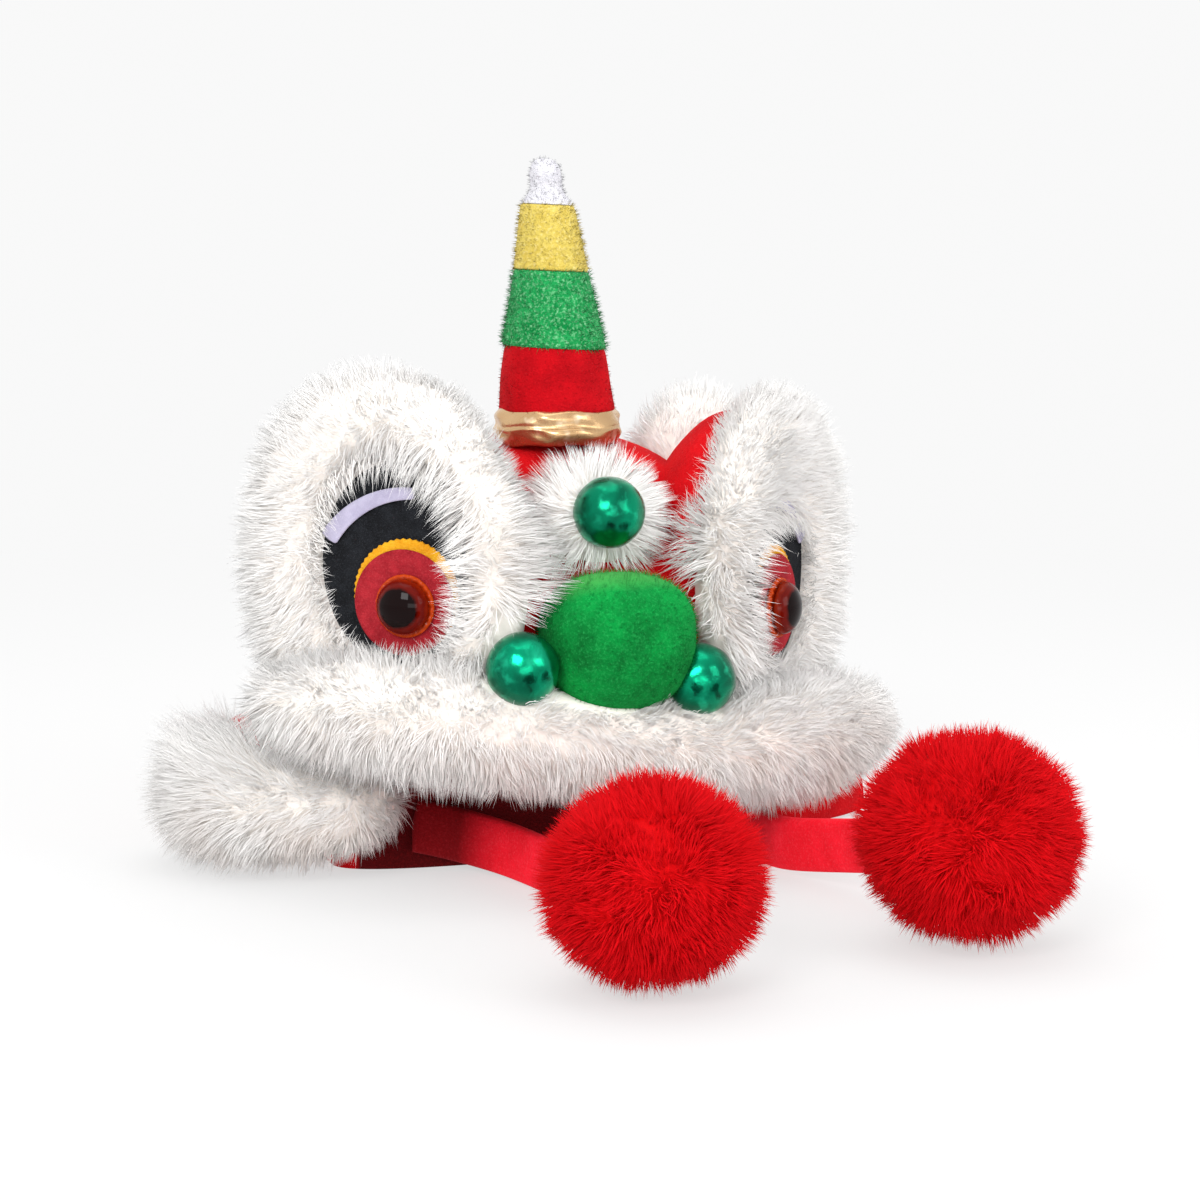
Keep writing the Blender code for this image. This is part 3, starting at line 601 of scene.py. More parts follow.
def disc_points(side, middle, half, low, high, teeth=0, depth=0.0):
    """A felt disc with a rounded edge, which teeth cut: the radius falls by depth x a zigzag."""
    share, level = np.array(DISC_ROWS, float).T[..., None]
    columns = 6 * teeth if teeth else 96
    edge = 1 - depth * zigzag(columns, teeth) / half[0] * (share > 0.9)
    return turned_in_eye(side, share * edge, low + (high - low) * level, half, middle)


def crescent_points(side):
    """A satin arc: a flat section carried round the button, narrower towards its upper end."""
    down, around = grid_of(60, 24)
    first, last = CRESCENT_ANGLES
    angle = first + (last - first) * down
    inner = CRESCENT_INNER[0] + (CRESCENT_INNER[1] - CRESCENT_INNER[0]) * down
    ends = (1 - np.abs(2 * down - 1) ** 40).clip(0) ** 0.5
    ring = TURN * around
    radius = (CRESCENT_OUTER + inner) / 2
    radius = radius + (CRESCENT_OUTER - inner) / 2 * ends * signed_power(np.cos(ring), 0.6)
    low, high = CRESCENT_LEVELS
    z = (low + high) / 2 + (high - low) / 2 * signed_power(np.sin(ring), 0.6)
    return from_eye(side, np.stack([radius * np.cos(angle), radius * np.sin(angle), z], -1))


def rim_points(side):
    """The moulded rim: a ring whose upper face has 24 facets, each a small slope."""
    share, level = np.array(RIM_ROWS, float).T[..., None]
    columns = 6 * RIM_FACETS
    raised = level - 0.28 * zigzag(columns, RIM_FACETS) * (share > 0.8) * (level > 0.5)
    low, high = RIM_LEVELS
    reach = RIM_RADIUS * share * np.ones(columns)
    return turned_in_eye(side, reach, low + (high - low) * raised)


def dome_points(side):
    """The clear dome: a cap whose height is 4.6 (1 - r^2)^0.5, closed below."""
    polar = np.linspace(0, TURN / 4, 22)
    share = np.concatenate([np.sin(polar), [0.5, 0]])[:, None]
    level = np.concatenate([np.cos(polar) * DOME_RISE, [0, 0]])[:, None]
    return turned_in_eye(side, DOME_RADIUS * share * np.ones(72), DOME_LEVEL + level)


def slab(middle_at, half_thick, rows=56, columns=28):
    """A cloth slab: a flat rounded section carried along a surface of two parameters.

    middle_at gives a point from the share along and the place across from -1 to 1; the section
    is a flat loop, across = cos and level = sin, both to a power below 1.
    """
    down, around = grid_of(rows, columns)
    ring = TURN * around
    across = signed_power(np.cos(ring), 0.7)
    level = signed_power(np.sin(ring), 0.5)
    points = middle_at(down, across)
    step = 0.01
    along = middle_at(down + step, across) - middle_at(down - step, across)
    aside = middle_at(down, across + step) - middle_at(down, across - step)
    points = points + np.cross(unit(along), unit(aside)) * (half_thick * level)[..., None]
    points[0] = points[0].mean(axis=0)
    points[-1] = points[-1].mean(axis=0)
    return points


def flap_at(side):
    inner, outer = FLAP_EDGES[side]

    def point(down, across):
        """Straight from the crown's line to the free edge."""
        a = smooth_line(inner, down)
        b = smooth_line(outer, down)
        share = (0.5 + 0.5 * across)[..., None]
        return a + (b - a) * share

    return point


def strap_at(side):
    rows = STRAP_ROWS[side]

    def point(down, across):
        """The strap's line moved up and down by its half width, leaning a little to and fro."""
        here = smooth_line(rows, down)
        lean = 0.9 * np.sin(5.0 * down + 1)
        here = here + np.stack([across * lean, 0 * across, STRAP_HALF_WIDTH * across], -1)
        here[..., 2] = np.maximum(here[..., 2], 0.3)
        return here

    return point


# ---- hair ----


def scatter(points, count, rng, wrap_rows=False):
    """Random places on a grid's surface, evenly by area: each is a quad's corners mixed by two
    random shares, and its direction out is the cross product of the quad's sides there."""
    grid = np.concatenate([points, points[:, :1]], axis=1)
    if wrap_rows:
        grid = np.concatenate([grid, grid[:1]], axis=0)
    a, b, c, d = (
        corner.reshape(-1, 3)
        for corner in (grid[:-1, :-1], grid[1:, :-1], grid[1:, 1:], grid[:-1, 1:])
    )
    area = np.linalg.norm(np.cross(c - a, d - b), axis=1)
    total = np.cumsum(area)
    quad = np.minimum(np.searchsorted(total, rng.random(count) * total[-1]), len(area) - 1)
    a, b, c, d = a[quad], b[quad], c[quad], d[quad]
    s, t = rng.random((2, count, 1))
    place = (a * (1 - s) + b * s) * (1 - t) + (d * (1 - s) + c * s) * t
    out = unit(np.cross((b - a) * (1 - t) + (c - d) * t, (d - a) * (1 - s) + (c - b) * s))
    outwards = ((place - points.reshape(-1, 3).mean(axis=0)) * out).sum() > 0
    return place, out if outwards else -out


def nearest_of(places, chosen):
    """For each place, the number of the nearest chosen one, worked out in blocks."""
    size = (chosen**2).sum(axis=1)
    blocks = np.array_split(places, max(1, len(places) // 4000))
    return np.concatenate([(size - 2 * block @ chosen.T).argmin(axis=1) for block in blocks])


def strands(roots, tips, facing, width, rng, starts=None):
    """Closed three-sided hairs, shaded mostly by the surface's direction, a little by their own.

    With starts a hair is bent along (1-t)^2 root + 2t(1-t) start + t^2 tip, with rings at its root
    and at t = 0.5: 7 points and 10 triangles. Without, it is straight: 4 points and 4 triangles.
    """
    count = len(roots)
    along = unit(tips - roots)
    side = unit(np.cross(along, rng.normal(size=(count, 3))))
    other = np.cross(along, side)
    rings = [(roots, 1.0, 0.2)]
    if starts is not None:
        rings.append((0.25 * roots + 0.5 * starts + 0.25 * tips, 0.8, 0.6))
    last = 3 * len(rings)
    verts, shade = np.empty((2, count, last + 1, 3))
    faces = [(0, 2, 1)]
    for corner in range(3):
        angle = TURN * corner / 3
        ahead = (corner + 1) % 3
        out = side * math.cos(angle) + other * math.sin(angle)
        for ring, (middle, thick, _) in enumerate(rings):
            verts[:, corner + 3 * ring] = middle + out * width[:, None] * thick
            shade[:, corner + 3 * ring] = unit(facing + OWN_SHADE * out)
        if starts is not None:
            faces += [(corner, ahead, ahead + 3), (corner, ahead + 3, corner + 3)]
        faces.append((corner + last - 3, ahead + last - 3, last))
    verts[:, last] = tips
    shade[:, last] = unit(facing + OWN_SHADE * along)
    faces = np.array(faces) + (last + 1) * np.arange(count)[:, None, None]
    reach = np.tile([*np.repeat([row[2] for row in rings], 3), 1.0], count)
    tint = np.repeat(rng.random(count), last + 1)
    return verts.reshape(-1, 3), faces.reshape(-1, 3), reach, tint, shade.reshape(-1, 3)


def in_lump(points, middle, half, margin=0.0):
    return (((points - middle) / (np.array(half) + margin)) ** 2).sum(axis=-1) < 1


def overhang(side, well):
    """How far the fur hangs in over an eye, as a share of its oval: over the left one from the
    side of the nose, most at the upper corner, and over the right one from above."""
    x, y = well[:, 0], well[:, 1]
    if side == "left":
        return 0.14 * np.clip(-x, 0, 1) + 0.3 * np.clip(0.7 * (y - x), 0, 1) ** 2
    return 0.03 * np.clip(-x, 0, 1) + 0.3 * np.clip(y, 0, 1) * np.clip(1.2 - 0.5 * x, 0, 1)


def free_of(tips, roots, inner):
    """Which hairs keep clear of the crown, the nose, the balls, the gold band as the photograph's
    camera sees it, and the space before each eye.

    Inner is the share of an eye's oval that tips leave free, and how far out of the eye; where the
    fur hangs over an eye they may lie further in.
    """
    half = 0.5 * (tips + roots)
    clear = ~inside_crown(tips, 0.5) & ~inside_crown(roots, -1.0)
    clear &= ~in_lump(half, NOSE_MIDDLE, NOSE_HALF, 0.3)
    for ahead, drop, margin in NOSE_CLEAR:
        middle = NOSE_MIDDLE + ahead * TO_CAMERA - [0, 0, drop]
        clear &= ~in_lump(tips, middle, NOSE_HALF, margin)
    for x, y, z, radius in BALLS.values():
        for ahead in (0, 5):
            middle = np.array([x, y, z]) + ahead * OVER_CAMERA
            clear &= ~in_lump(tips, middle, (radius,) * 3, 0.3)
            clear &= ~in_lump(half, middle, (radius,) * 3, 0.1)
    for ahead in (0, 10, 20, 30):
        clear &= ~in_lump(tips, BAND_CLEAR_MIDDLE + ahead * TO_CAMERA, BAND_CLEAR_HALF)
    for side in SIDES:
        for places, share, over in (
            (tips, inner[0], 1.0), (half, 0.5 * inner[0] + 0.5, 0.5), (roots, 1.03, 0),
        ):
            well = well_of(side, places)
            within = np.hypot(well[:, 0], well[:, 1]) < share - over * overhang(side, well)
            clear &= ~(within & (well[:, 2] > -3) & (well[:, 2] < inner[1]))
    return clear & (tips[:, 2] > 0.4)


def combed(points, count, length, comb, rng, wrap_rows=False, lift=0.75, droop=0.08,
           sink=2.0, clump=14, gather=(0.15, 0.55), loose=0.16, swirl=1.0, vary=(0.72, 1.15)):
    """Roots, starts, tips and shading directions of hairs on a surface.

    A hair leans from the surface's direction out towards the comb's direction, its tip droops by
    a share of its length, and it is drawn towards the tip of the nearest of a few chosen hairs.
    The length may be a function of the place and its direction out.
    """
    place, out = scatter(points, count, rng, wrap_rows)
    roots = place - sink * out
    long = (length(place, out) if callable(length) else length) * rng.uniform(*vary, (count, 1))
    waves = 0.32 * np.stack([ripple(place, 15, seed) for seed in (11, 12, 13)], -1)
    waves += 0.26 * np.stack([ripple(place, 5.5, seed) for seed in (21, 22, 23)], -1)
    aim = unit(lift * out + comb(place, out) + swirl * waves + loose * rng.normal(size=(count, 3)))
    aim = unit(aim + out * np.maximum(0.25 - (aim * out).sum(axis=1, keepdims=True), 0))
    starts = roots + unit(0.75 * out + 0.6 * aim) * long * 0.5
    tips = roots + aim * long
    tips[:, 2] -= droop * long[:, 0]
    chosen = rng.choice(count, max(count // clump, 1), replace=False)
    goal = tips[chosen][nearest_of(roots, roots[chosen])]
    tips += (goal - tips) * rng.uniform(*gather, (count, 1))
    tips[:, 2] = np.maximum(tips[:, 2], 0.5 + 0.8 * rng.random(count))
    starts[:, 2] = np.maximum(starts[:, 2], 0.8)
    roots[:, 2] = np.maximum(roots[:, 2], 1.0)
    return roots, starts, tips, unit(out + 0.28 * swirl * waves + SKYWARDS)


def coat(points, long_count, short_count, length, comb, seed, wrap_rows=False, width=0.13,
         inner=(0.86, 30.0), **how):
    """The hairs of one fur piece: long bent ones over short straight ones."""
    rng = np.random.default_rng(seed)
    parts = []
    for count, share, wider in ((long_count, 1.0, 1.0), (short_count, SHORT_SHARE, SHORT_WIDER)):
        roots, starts, tips, facing = combed(points, count, length, comb, rng, wrap_rows, **how)
        starts, tips = roots + share * (starts - roots), roots + share * (tips - roots)
        clear = free_of(tips, roots, inner)
        roots, starts, tips, facing = (rows[clear] for rows in (roots, starts, tips, facing))
        thick = width * rng.uniform(0.7, 1.25, len(roots)) * wider
        parts.append(strands(roots, tips, facing, thick, rng, starts if share == 1 else None))
    return parts


def pad_fringe(side, count, seed):
    """Short hairs that root round an eye's free oval and lean in over its edge, further in where
    the fur hangs over."""
    rng = np.random.default_rng(seed)
    angle = TURN * rng.random(count)
    oval = np.stack([np.cos(angle), np.sin(angle), 0 * angle], -1)
    up = np.array([0, 0, 1.0])
    hang = overhang(side, oval)[:, None]
    roots = oval * rng.uniform(1.01, 1.18, (count, 1)) + up * rng.uniform(-0.8, 3.0, (count, 1))
    over = rng.uniform(0.06, 0.3, (count, 1)) + 0.7 * hang * rng.random((count, 1))
    turn = rng.normal(0, 0.05, (count, 1)) * np.stack([-oval[:, 1], oval[:, 0], 0 * angle], -1)
    tips = roots - over * oval + turn + up * rng.uniform(1.4, 4.6, (count, 1))
    facing = unit((0.3 * oval + up) @ eye_axes(side)[1] + SKYWARDS)
    thick = rng.uniform(0.09, 0.16, count)
    return strands(from_well(side, roots), from_well(side, tips), facing, thick, rng)


def nap(points, count, length, width, seed, mask=None, lean=(0, 0, 0), loose=0.45):
    """A short nap that stands out of a surface, drawn a little towards a lean; mask gives its
    reach by place, so that the nap has its surface's own colour."""
    rng = np.random.default_rng(seed)
    place, out = scatter(points, count, rng)
    aim = unit(out + lean + loose * rng.normal(size=(count, 3)))
    tips = place + aim * length * rng.uniform(0.6, 1.2, (count, 1))
    made = strands(place - 0.4 * out, tips, out, width * rng.uniform(0.8, 1.2, count), rng)
    reach = 0 * made[2] if mask is None else np.repeat(mask(place), 4)
    return made[0], made[1], reach, *made[3:]


# ---- materials ----


def add(tree, kind, values=None, **settings):
    made = tree.nodes.new("ShaderNode" + kind)
    for label, value in settings.items():
        setattr(made, label, value)
    for label, value in (values or {}).items():
        plug(tree, made.inputs[label], value)
    return made


def colour_of(red, green, blue):
    """An sRGB colour from 0 to 255 as linear values."""
    c = np.array([red, green, blue]) / 255
    return (*np.where(c <= 0.04045, c / 12.92, ((c + 0.055) / 1.055) ** 2.4).tolist(), 1.0)


def plug(tree, socket, value):
    """Links a socket, or sets its value; three numbers are an sRGB colour."""
    if isinstance(value, bpy.types.NodeSocket):
        tree.links.new(value, socket)
    else:
        is_colour = isinstance(value, tuple) and len(value) == 3
        socket.default_value = colour_of(*value) if is_colour else value


def maths(tree, operation, *values):
    return add(tree, "Math", dict(enumerate(values)), operation=operation).outputs[0]


def own_value(tree, label):
    """A piece's own attribute: its hairs' reach or tint, or a mask."""
    return add(tree, "Attribute", attribute_name=label).outputs["Fac"]


def place_of(tree):
    return add(tree, "TexCoord").outputs["Object"]


def noise(tree, place, scale, **values):
    values.update(Vector=place, Scale=scale)
    return add(tree, "TexNoise", values).outputs["Fac"]


def cells(tree, place, scale):
    return add(tree, "TexVoronoi", {"Vector": place, "Scale": scale}).outputs["Distance"]


def bumped(tree, height, **values):
    return add(tree, "Bump", {"Height": height, **values}).outputs["Normal"]


def mix(tree, share, a, b, kind="MIX"):
    """A Mix node of two colours; a and b are sockets or colours."""
    values = {0: share, 6: a, 7: b}
    return add(tree, "Mix", values, data_type="RGBA", blend_type=kind, clamp_result=True).outputs[2]


def spread(tree, value, low, high, to_low=0.0, to_high=1.0, kind="LINEAR"):
    """A value mapped from one range to another and clamped."""
    values = dict(enumerate((value, low, high, to_low, to_high)))
    return add(tree, "MapRange", values, clamp=True, interpolation_type=kind).outputs[0]


def blended(tree, share, first, second, end):
    """Two shaders mixed by a share, into an output's socket."""
    plug(tree, end, add(tree, "MixShader", {0: share, 1: first, 2: second}).outputs[0])


def sockets(tree, inputs, outputs):
    """A node group's own sockets, by kind; its inputs and outputs are given back by name."""
    for way, rows in (("INPUT", inputs), ("OUTPUT", outputs)):
        for label, kind in rows:
            tree.interface.new_socket(label, in_out=way, socket_type="NodeSocket" + kind)
    given = tree.nodes.new("NodeGroupInput").outputs
    return given, tree.nodes.new("NodeGroupOutput").inputs


def pile_group():
    """Cloth with a pile: patches brushed darker, a painted highlight on pale tuft tips, a second
    colour by mask, and a fine rough surface."""
    tree = bpy.data.node_groups.new("pile", "ShaderNodeTree")
    colours = [(label, "Color") for label in ("Colour", "Dark", "Pale", "Second")]
    values = [(label, "Float") for label in ("Mask", "Tufts", "Patches", "Depth", "Highlight Amount")]
    given, result = sockets(tree, colours + values, (("Colour", "Color"), ("Normal", "Vector")))
    place = place_of(tree)
    patch = noise(tree, place, given["Patches"], Detail=3.0, Roughness=0.6)
    tuft = noise(tree, place, given["Tufts"], Detail=2.5, Roughness=0.7)
    base = mix(tree, spread(tree, patch, 0.36, 0.64), given["Dark"], given["Colour"])
    base = mix(tree, given["Mask"], base, given["Second"])
    # A painted highlight on the tufts' tips, weaker where the mask gives the second colour
    pale = maths(tree, "MULTIPLY", spread(tree, tuft, 0.5, 0.72), given["Highlight Amount"])
    bare = maths(tree, "SUBTRACT", 1.0, maths(tree, "MULTIPLY", given["Mask"], 0.75))
    pale = maths(tree, "MULTIPLY", pale, bare)
    plug(tree, result["Colour"], mix(tree, pale, base, given["Pale"]))
    cell = spread(tree, cells(tree, place, given["Tufts"]), 0.0, 0.8, 0.6, 0.0)
    height = maths(tree, "ADD", tuft, cell)
    plug(tree, result["Normal"], bumped(tree, height, Strength=1.0, Distance=given["Depth"]))
    return tree


def finish_of(name, roughness, sheen=0.0, sheen_colour=(255, 255, 255), **constants):
    """A material with a Principled shader whose constant values are set on its own sockets."""
    made = bpy.data.materials.new(name)
    made.use_nodes = True
    inputs = made.node_tree.nodes["Principled BSDF"].inputs
    constants.update(
        Roughness=roughness, Sheen_Weight=sheen, Sheen_Tint=sheen_colour, Sheen_Roughness=0.45
    )
    for label, value in constants.items():
        plug(made.node_tree, inputs[label.replace("_", " ")], value)
    return made, made.node_tree, inputs


PILE = pile_group()


def pile_cloth(name, colour, dark, pale, tufts, patches, depth, highlight_amount, sheen=0.25, second=None,
               roughness=0.9):
    """A plush, velvet, felt or fleece: the pile group with its own colours and sizes."""
    made, tree, inputs = finish_of(name, roughness, sheen, pale, Specular_IOR_Level=0.12)
    group = tree.nodes.new("ShaderNodeGroup")
    group.node_tree = PILE
    values = {
        "Colour": colour, "Dark": dark, "Pale": pale, "Second": second or colour, "Mask": 0.0,
        "Tufts": tufts, "Patches": patches, "Depth": depth, "Highlight Amount": highlight_amount,
    }
    if second:
        values["Mask"] = own_value(tree, "reach")
    for label, value in values.items():
        plug(tree, group.inputs[label], value)
    plug(tree, inputs["Base Color"], group.outputs["Colour"])
    plug(tree, inputs["Normal"], group.outputs["Normal"])
    return made


def hair_finish(name, root, middle, tip, tinge, tinge_low, tinge_high, sheen=0.3):
    """Hair: from the root's darker colour, painted shade among the hairs, to the tip's by reach,
    with painted shade low down towards the floor and a little difference from hair to hair."""
    made, tree, inputs = finish_of(name, 0.8, sheen, tip, Specular_IOR_Level=0.1)
    reach, tint = own_value(tree, "reach"), own_value(tree, "tint")
    # The darker root colour is painted shade among the hairs
    colour = mix(tree, spread(tree, reach, 0.0, 0.5), root, middle)
    colour = mix(tree, spread(tree, reach, 0.5, 1.0), colour, tip)
    place = place_of(tree)
    height = add(tree, "SeparateXYZ", {0: place}).outputs["Z"]
    # Painted shade low down, towards the floor, in patches
    low = spread(tree, height, tinge_low, tinge_high, 1.0, 0.0)
    patch = spread(tree, noise(tree, place, 55.0, Detail=3.0), 0.35, 0.65, 0.15, 1.0)
    low_shade_amount = maths(tree, "MULTIPLY", low, patch)
    colour = mix(tree, low_shade_amount, colour, mix(tree, 1.0, colour, tinge, "MULTIPLY"))
    shade = spread(tree, tint, 0.0, 1.0, 0.95, 1.0)
    shade = add(tree, "CombineColor", {0: shade, 1: shade, 2: shade}).outputs[0]
    plug(tree, inputs["Base Color"], mix(tree, 1.0, colour, shade, "MULTIPLY"))
    return made


def foil_finish(name, dark, colour, pale, wrinkle, fold, roughness, crease, metal):
    """Metallic cloth with fine wrinkles and broad soft folds; its colour is mottled with painted
    shade in the folds' hollows and painted glints on the wrinkles' crests.
    """
    made, tree, inputs = finish_of(name, roughness, Metallic=metal)
    place = place_of(tree)
    broad = noise(tree, place, fold, Detail=2.0, Distortion=0.6)
    fine = noise(tree, place, wrinkle, Detail=3.0, Roughness=0.5)
    # Painted shade: the dark colour where the broad folds lie low
    fold_shaded = mix(tree, spread(tree, broad, 0.35, 0.65), dark, colour)
    # Painted glints: the pale colour on the crests of the fine wrinkles
    plug(tree, inputs["Base Color"], mix(tree, spread(tree, fine, 0.58, 0.8), fold_shaded, pale))
    rough = spread(tree, fine, 0.3, 0.7, roughness * 0.8, roughness * 1.25)
    plug(tree, inputs["Roughness"], rough)
    height = maths(tree, "MULTIPLY_ADD", fine, 0.25, broad)
    folds = bumped(tree, height, Strength=0.6, Distance=crease)
    weave = cells(tree, place, 2600.0)
    plug(tree, inputs["Normal"], bumped(tree, weave, Strength=0.2, Distance=0.00006, Normal=folds))
    return made


def eye_finish(name, centre, ring, edge, low, high):
    """Glossy amber plastic: the colour runs from the centre out by reach, with fine rays."""
    made, tree, inputs = finish_of(
        name, 0.06, Specular_IOR_Level=0.08, Coat_Weight=0.06, Coat_Roughness=0.02
    )
    rays = noise(tree, place_of(tree), 420.0, Detail=2.0)
    uneven = maths(tree, "MULTIPLY_ADD", rays, 0.14, own_value(tree, "reach"))
    colour = mix(tree, spread(tree, uneven, low, low + 0.12), centre, ring)
    colour = mix(tree, spread(tree, uneven, high, high + 0.3), colour, edge)
    plug(tree, inputs["Base Color"], colour)
    return made


RED = ((196, 4, 14), (174, 0, 10), (228, 40, 46), 1500, 90, 0.0003, 0.3, 0.25)
PILES = {
    # colour, dark, pale: the painted highlight on tuft tips and the sheen's tint, tufts, patches,
    # depth, strength of the painted highlight, sheen, second colour, roughness
    # The crown's second colour is painted shade, on its tucked front and its inner skin
    "crown_plush": (*RED, (74, 1, 4)),
    "red_plush": RED,
    "cushion_plush": (*RED, (244, 238, 233)),
    "horn_red": ((182, 2, 16), (160, 0, 12), (208, 24, 34), 1900, 150, 0.0002, 0.3),
    "green_plush": ((34, 154, 82), (4, 126, 60), (138, 208, 156), 1300, 260, 0.0005, 0.8),
    "yellow_plush": ((206, 186, 92), (192, 168, 72), (224, 210, 146), 1200, 240, 0.0003, 0.6),
    "white_plush": ((208, 207, 212), (196, 195, 202), (224, 224, 227), 1300, 240, 0.0002, 0.5, 0.2),
    # The velvet's second colour is a lighter green, a painted sheen on the nose's upper edge
    "green_velvet": (
        (0, 136, 56), (0, 98, 38), (50, 180, 94), 1500, 75, 0.0002, 0.35, 0.3, (84, 176, 84),
    ),
    "black_felt": ((30, 32, 36), (20, 21, 24), (60, 63, 68), 2400, 300, 0.0003, 0.4, 0.15),
    "lilac_satin": (
        (182, 177, 200), (166, 160, 186), (206, 202, 218), 2600, 200, 0.0001, 0.3, 0.4, None, 0.55,
    ),
    "yellow_felt": ((226, 166, 34), (208, 138, 20), (236, 192, 84), 2200, 300, 0.0002, 0.35, 0.15),
    "red_felt": ((166, 36, 46), (138, 24, 34), (196, 70, 76), 2200, 260, 0.0002, 0.4, 0.15),
    # The fleece's second colour is the straps' painted shade under the lip
    "red_fleece": (
        (242, 24, 44), (226, 16, 34), (252, 80, 92), 1500, 120, 0.0002, 0.3, 0.3, (110, 2, 8),
    ),
}
FOILS = {
    # dark: painted shade in the folds' hollows, colour, pale: painted glints on the wrinkles'
    # crests, wrinkle, fold, roughness, crease, metal
    "green_foil": ((0, 98, 70), (0, 150, 108), (30, 182, 138), 260, 95, 0.2, 0.0008, 0.9),
    "gold_cloth": ((176, 140, 98), (208, 174, 130), (240, 222, 192), 260, 70, 0.26, 0.0004, 0.85),
}
EYES = {
    # centre, ring, edge, where the ring and the edge begin
    "amber_dome": ((14, 2, 2), (96, 12, 4), (190, 56, 10), 0.74, 0.98),
    "amber_rim": ((90, 10, 4), (138, 24, 6), (206, 76, 18), 0.5, 0.86),
}
# Root, middle and tip of the white hairs: the roots darker as painted shade among the hairs
WHITE = ((248, 241, 234), (252, 249, 246), (254, 253, 252))
HAIRS = {
    # root (darker: painted shade among the hairs), middle, tip, colour of the painted shade low
    # down, heights that this shade is whole at and gone at, sheen
    "white_fur": (*WHITE, (242, 230, 226), 0.020, 0.050),
    "lobe_fur": (*WHITE, (250, 242, 238), 0.004, 0.026),
    "red_pile": ((194, 0, 6), (216, 0, 9), (232, 10, 22), (235, 210, 210), 0.0, 0.012, 0.1),
}
LOOKS = {
    name: finish(name, *row)
    for finish, rows in (
        (pile_cloth, PILES), (foil_finish, FOILS), (eye_finish, EYES), (hair_finish, HAIRS)
    )
    for name, row in rows.items()
}


# ---- the pieces ----


def plain(name, points, look, node, mask=None):
    """A piece without hair; its mask, if any, comes from its vertices."""
    verts, faces = skin(points, poles=(0, -1))
    parts = [(verts, faces, mask(verts)) if mask else (verts, faces)]
    return make(name, parts, LOOKS[look], [node])


def nose_painted_sheen(place):
    """A painted sheen's mask: 1 on the nose's upper edge, as it turns away backwards and up, and 0
    in front.
    """
    _, back, high = ((place - NOSE_MIDDLE) / NOSE_HALF).T
    return np.clip((high + 0.5 * back - 0.5) / 0.5, 0, 1)


def velvet_nose():
    """The nose, a little wider above than below."""
    points = lump(NOSE_MIDDLE, NOSE_HALF, power=2.5, uneven=0.012)
    x, _, z = np.moveaxis(points - NOSE_MIDDLE, -1, 0)
    points[..., 0] += 0.05 * x * z / NOSE_HALF[2]
    verts, faces = skin(points, poles=(0, -1))
    # The upper edge and the nap on it take the lighter green of a painted sheen
    parts = [(verts, faces, nose_painted_sheen(verts))]
    parts.append(nap(points, 5500, 1.5, 0.11, 9, nose_painted_sheen, (0.3, 0, 0.2)))
    return make("velvet_nose", parts, LOOKS["green_velvet"], ["nose"])


def cushion(side):
    """The cushion behind an eye: red, but white where it shows round the eye's pad."""

    def white(verts):
        well = well_of(side, verts)
        near = np.clip((1.3 - np.hypot(well[:, 0], well[:, 1])) / 0.06, 0, 1)
        return near * (well[:, 2] > -9)

    node = f"brow_backing_{side}"
    return plain(f"cushion_{side}", cushion_points(side), "cushion_plush", node, white)


def strap(side):
    """A strap, darker where it comes out from under the lip: painted shade."""
    points = slab(strap_at(side), STRAP_HALF_THICK, 84)
    verts, faces, used = skin(points, poles=(0, -1), kept=True)
    along = grid_of(*points.shape[:2])[0]
    shade = np.clip((STRAP_SHADE[0] - along) / STRAP_SHADE[1], 0, 1).ravel()[used]
    parts = [(verts, faces, shade)]
    return make(f"tie_strap_{side}", parts, LOOKS["red_fleece"], [f"strap_{side}"])


def smooth_pieces():
    """Every piece without long hair, each in the place of its solid."""
    soft = [make("hat_crown", [crown_shell()], LOOKS["crown_plush"], ["crown"])]
    for name, (look, length, count) in HORN_NAPS.items():
        points = horn_points(name)
        parts = [skin(points, poles=(0, -1)), nap(points, count, length, 0.13, len(name))]
        soft.append(make("stuffed_" + name, parts, LOOKS[look], [name]))
    part = skin(band_points(), wrap_rows=True)
    soft.append(make("gathered_band", [part], LOOKS["gold_cloth"], ["horn_band"]))
    soft.append(velvet_nose())
    for name, (x, y, z, radius) in BALLS.items():
        points = lump((x, y, z), (radius,) * 3, uneven=0.014, seed=len(name), size=0.7)
        soft.append(plain("foil_" + name, points, "green_foil", name))
    for side in SIDES:
        eye_pieces(side)
        soft.append(cushion(side))
        points = slab(flap_at(side), FLAP_WALL / 2)
        flap = plain(f"side_flap_{side}", points, "red_plush", f"flap_{side}")
        strap(side)


def eye_pieces(side):
    """The felt, the satin and the moulded plastic of one eye."""
    cloths = [
        ("felt_pad", disc_points(side, PAD_MIDDLE, PAD_HALF, *PAD_LEVELS), "black_felt",
         "eye_pad", 2 * PAD_HALF[0], 2 * PAD_HALF[1]),
        ("satin_arc", crescent_points(side), "lilac_satin", "eye_crescent", *CRESCENT_FLAT),
    ]
    for name, (x, y, radius, *rest) in DISCS.items():
        look = name.replace("eye_", "") + "_felt"
        points = disc_points(side, (x, y), (radius, radius), *rest)
        cloths.append((look + "_disc", points, look, name, 2 * radius, 2 * radius))
    for name, points, look, node, width, length in cloths:
        piece = plain(f"{name}_{side}", points, look, f"{node}_{side}")
    for name, points, radius, look, node in (
        ("moulded_rim", rim_points(side), RIM_RADIUS, "amber_rim", "eye_rim_"),
        ("clear_dome", dome_points(side), DOME_RADIUS, "amber_dome", "eye_dome_"),
    ):

        def share(verts, radius=radius):
            return np.linalg.norm(to_eye(side, verts)[:, :2], axis=1) / radius

        plain(f"{name}_{side}", points, look, node + side, share)


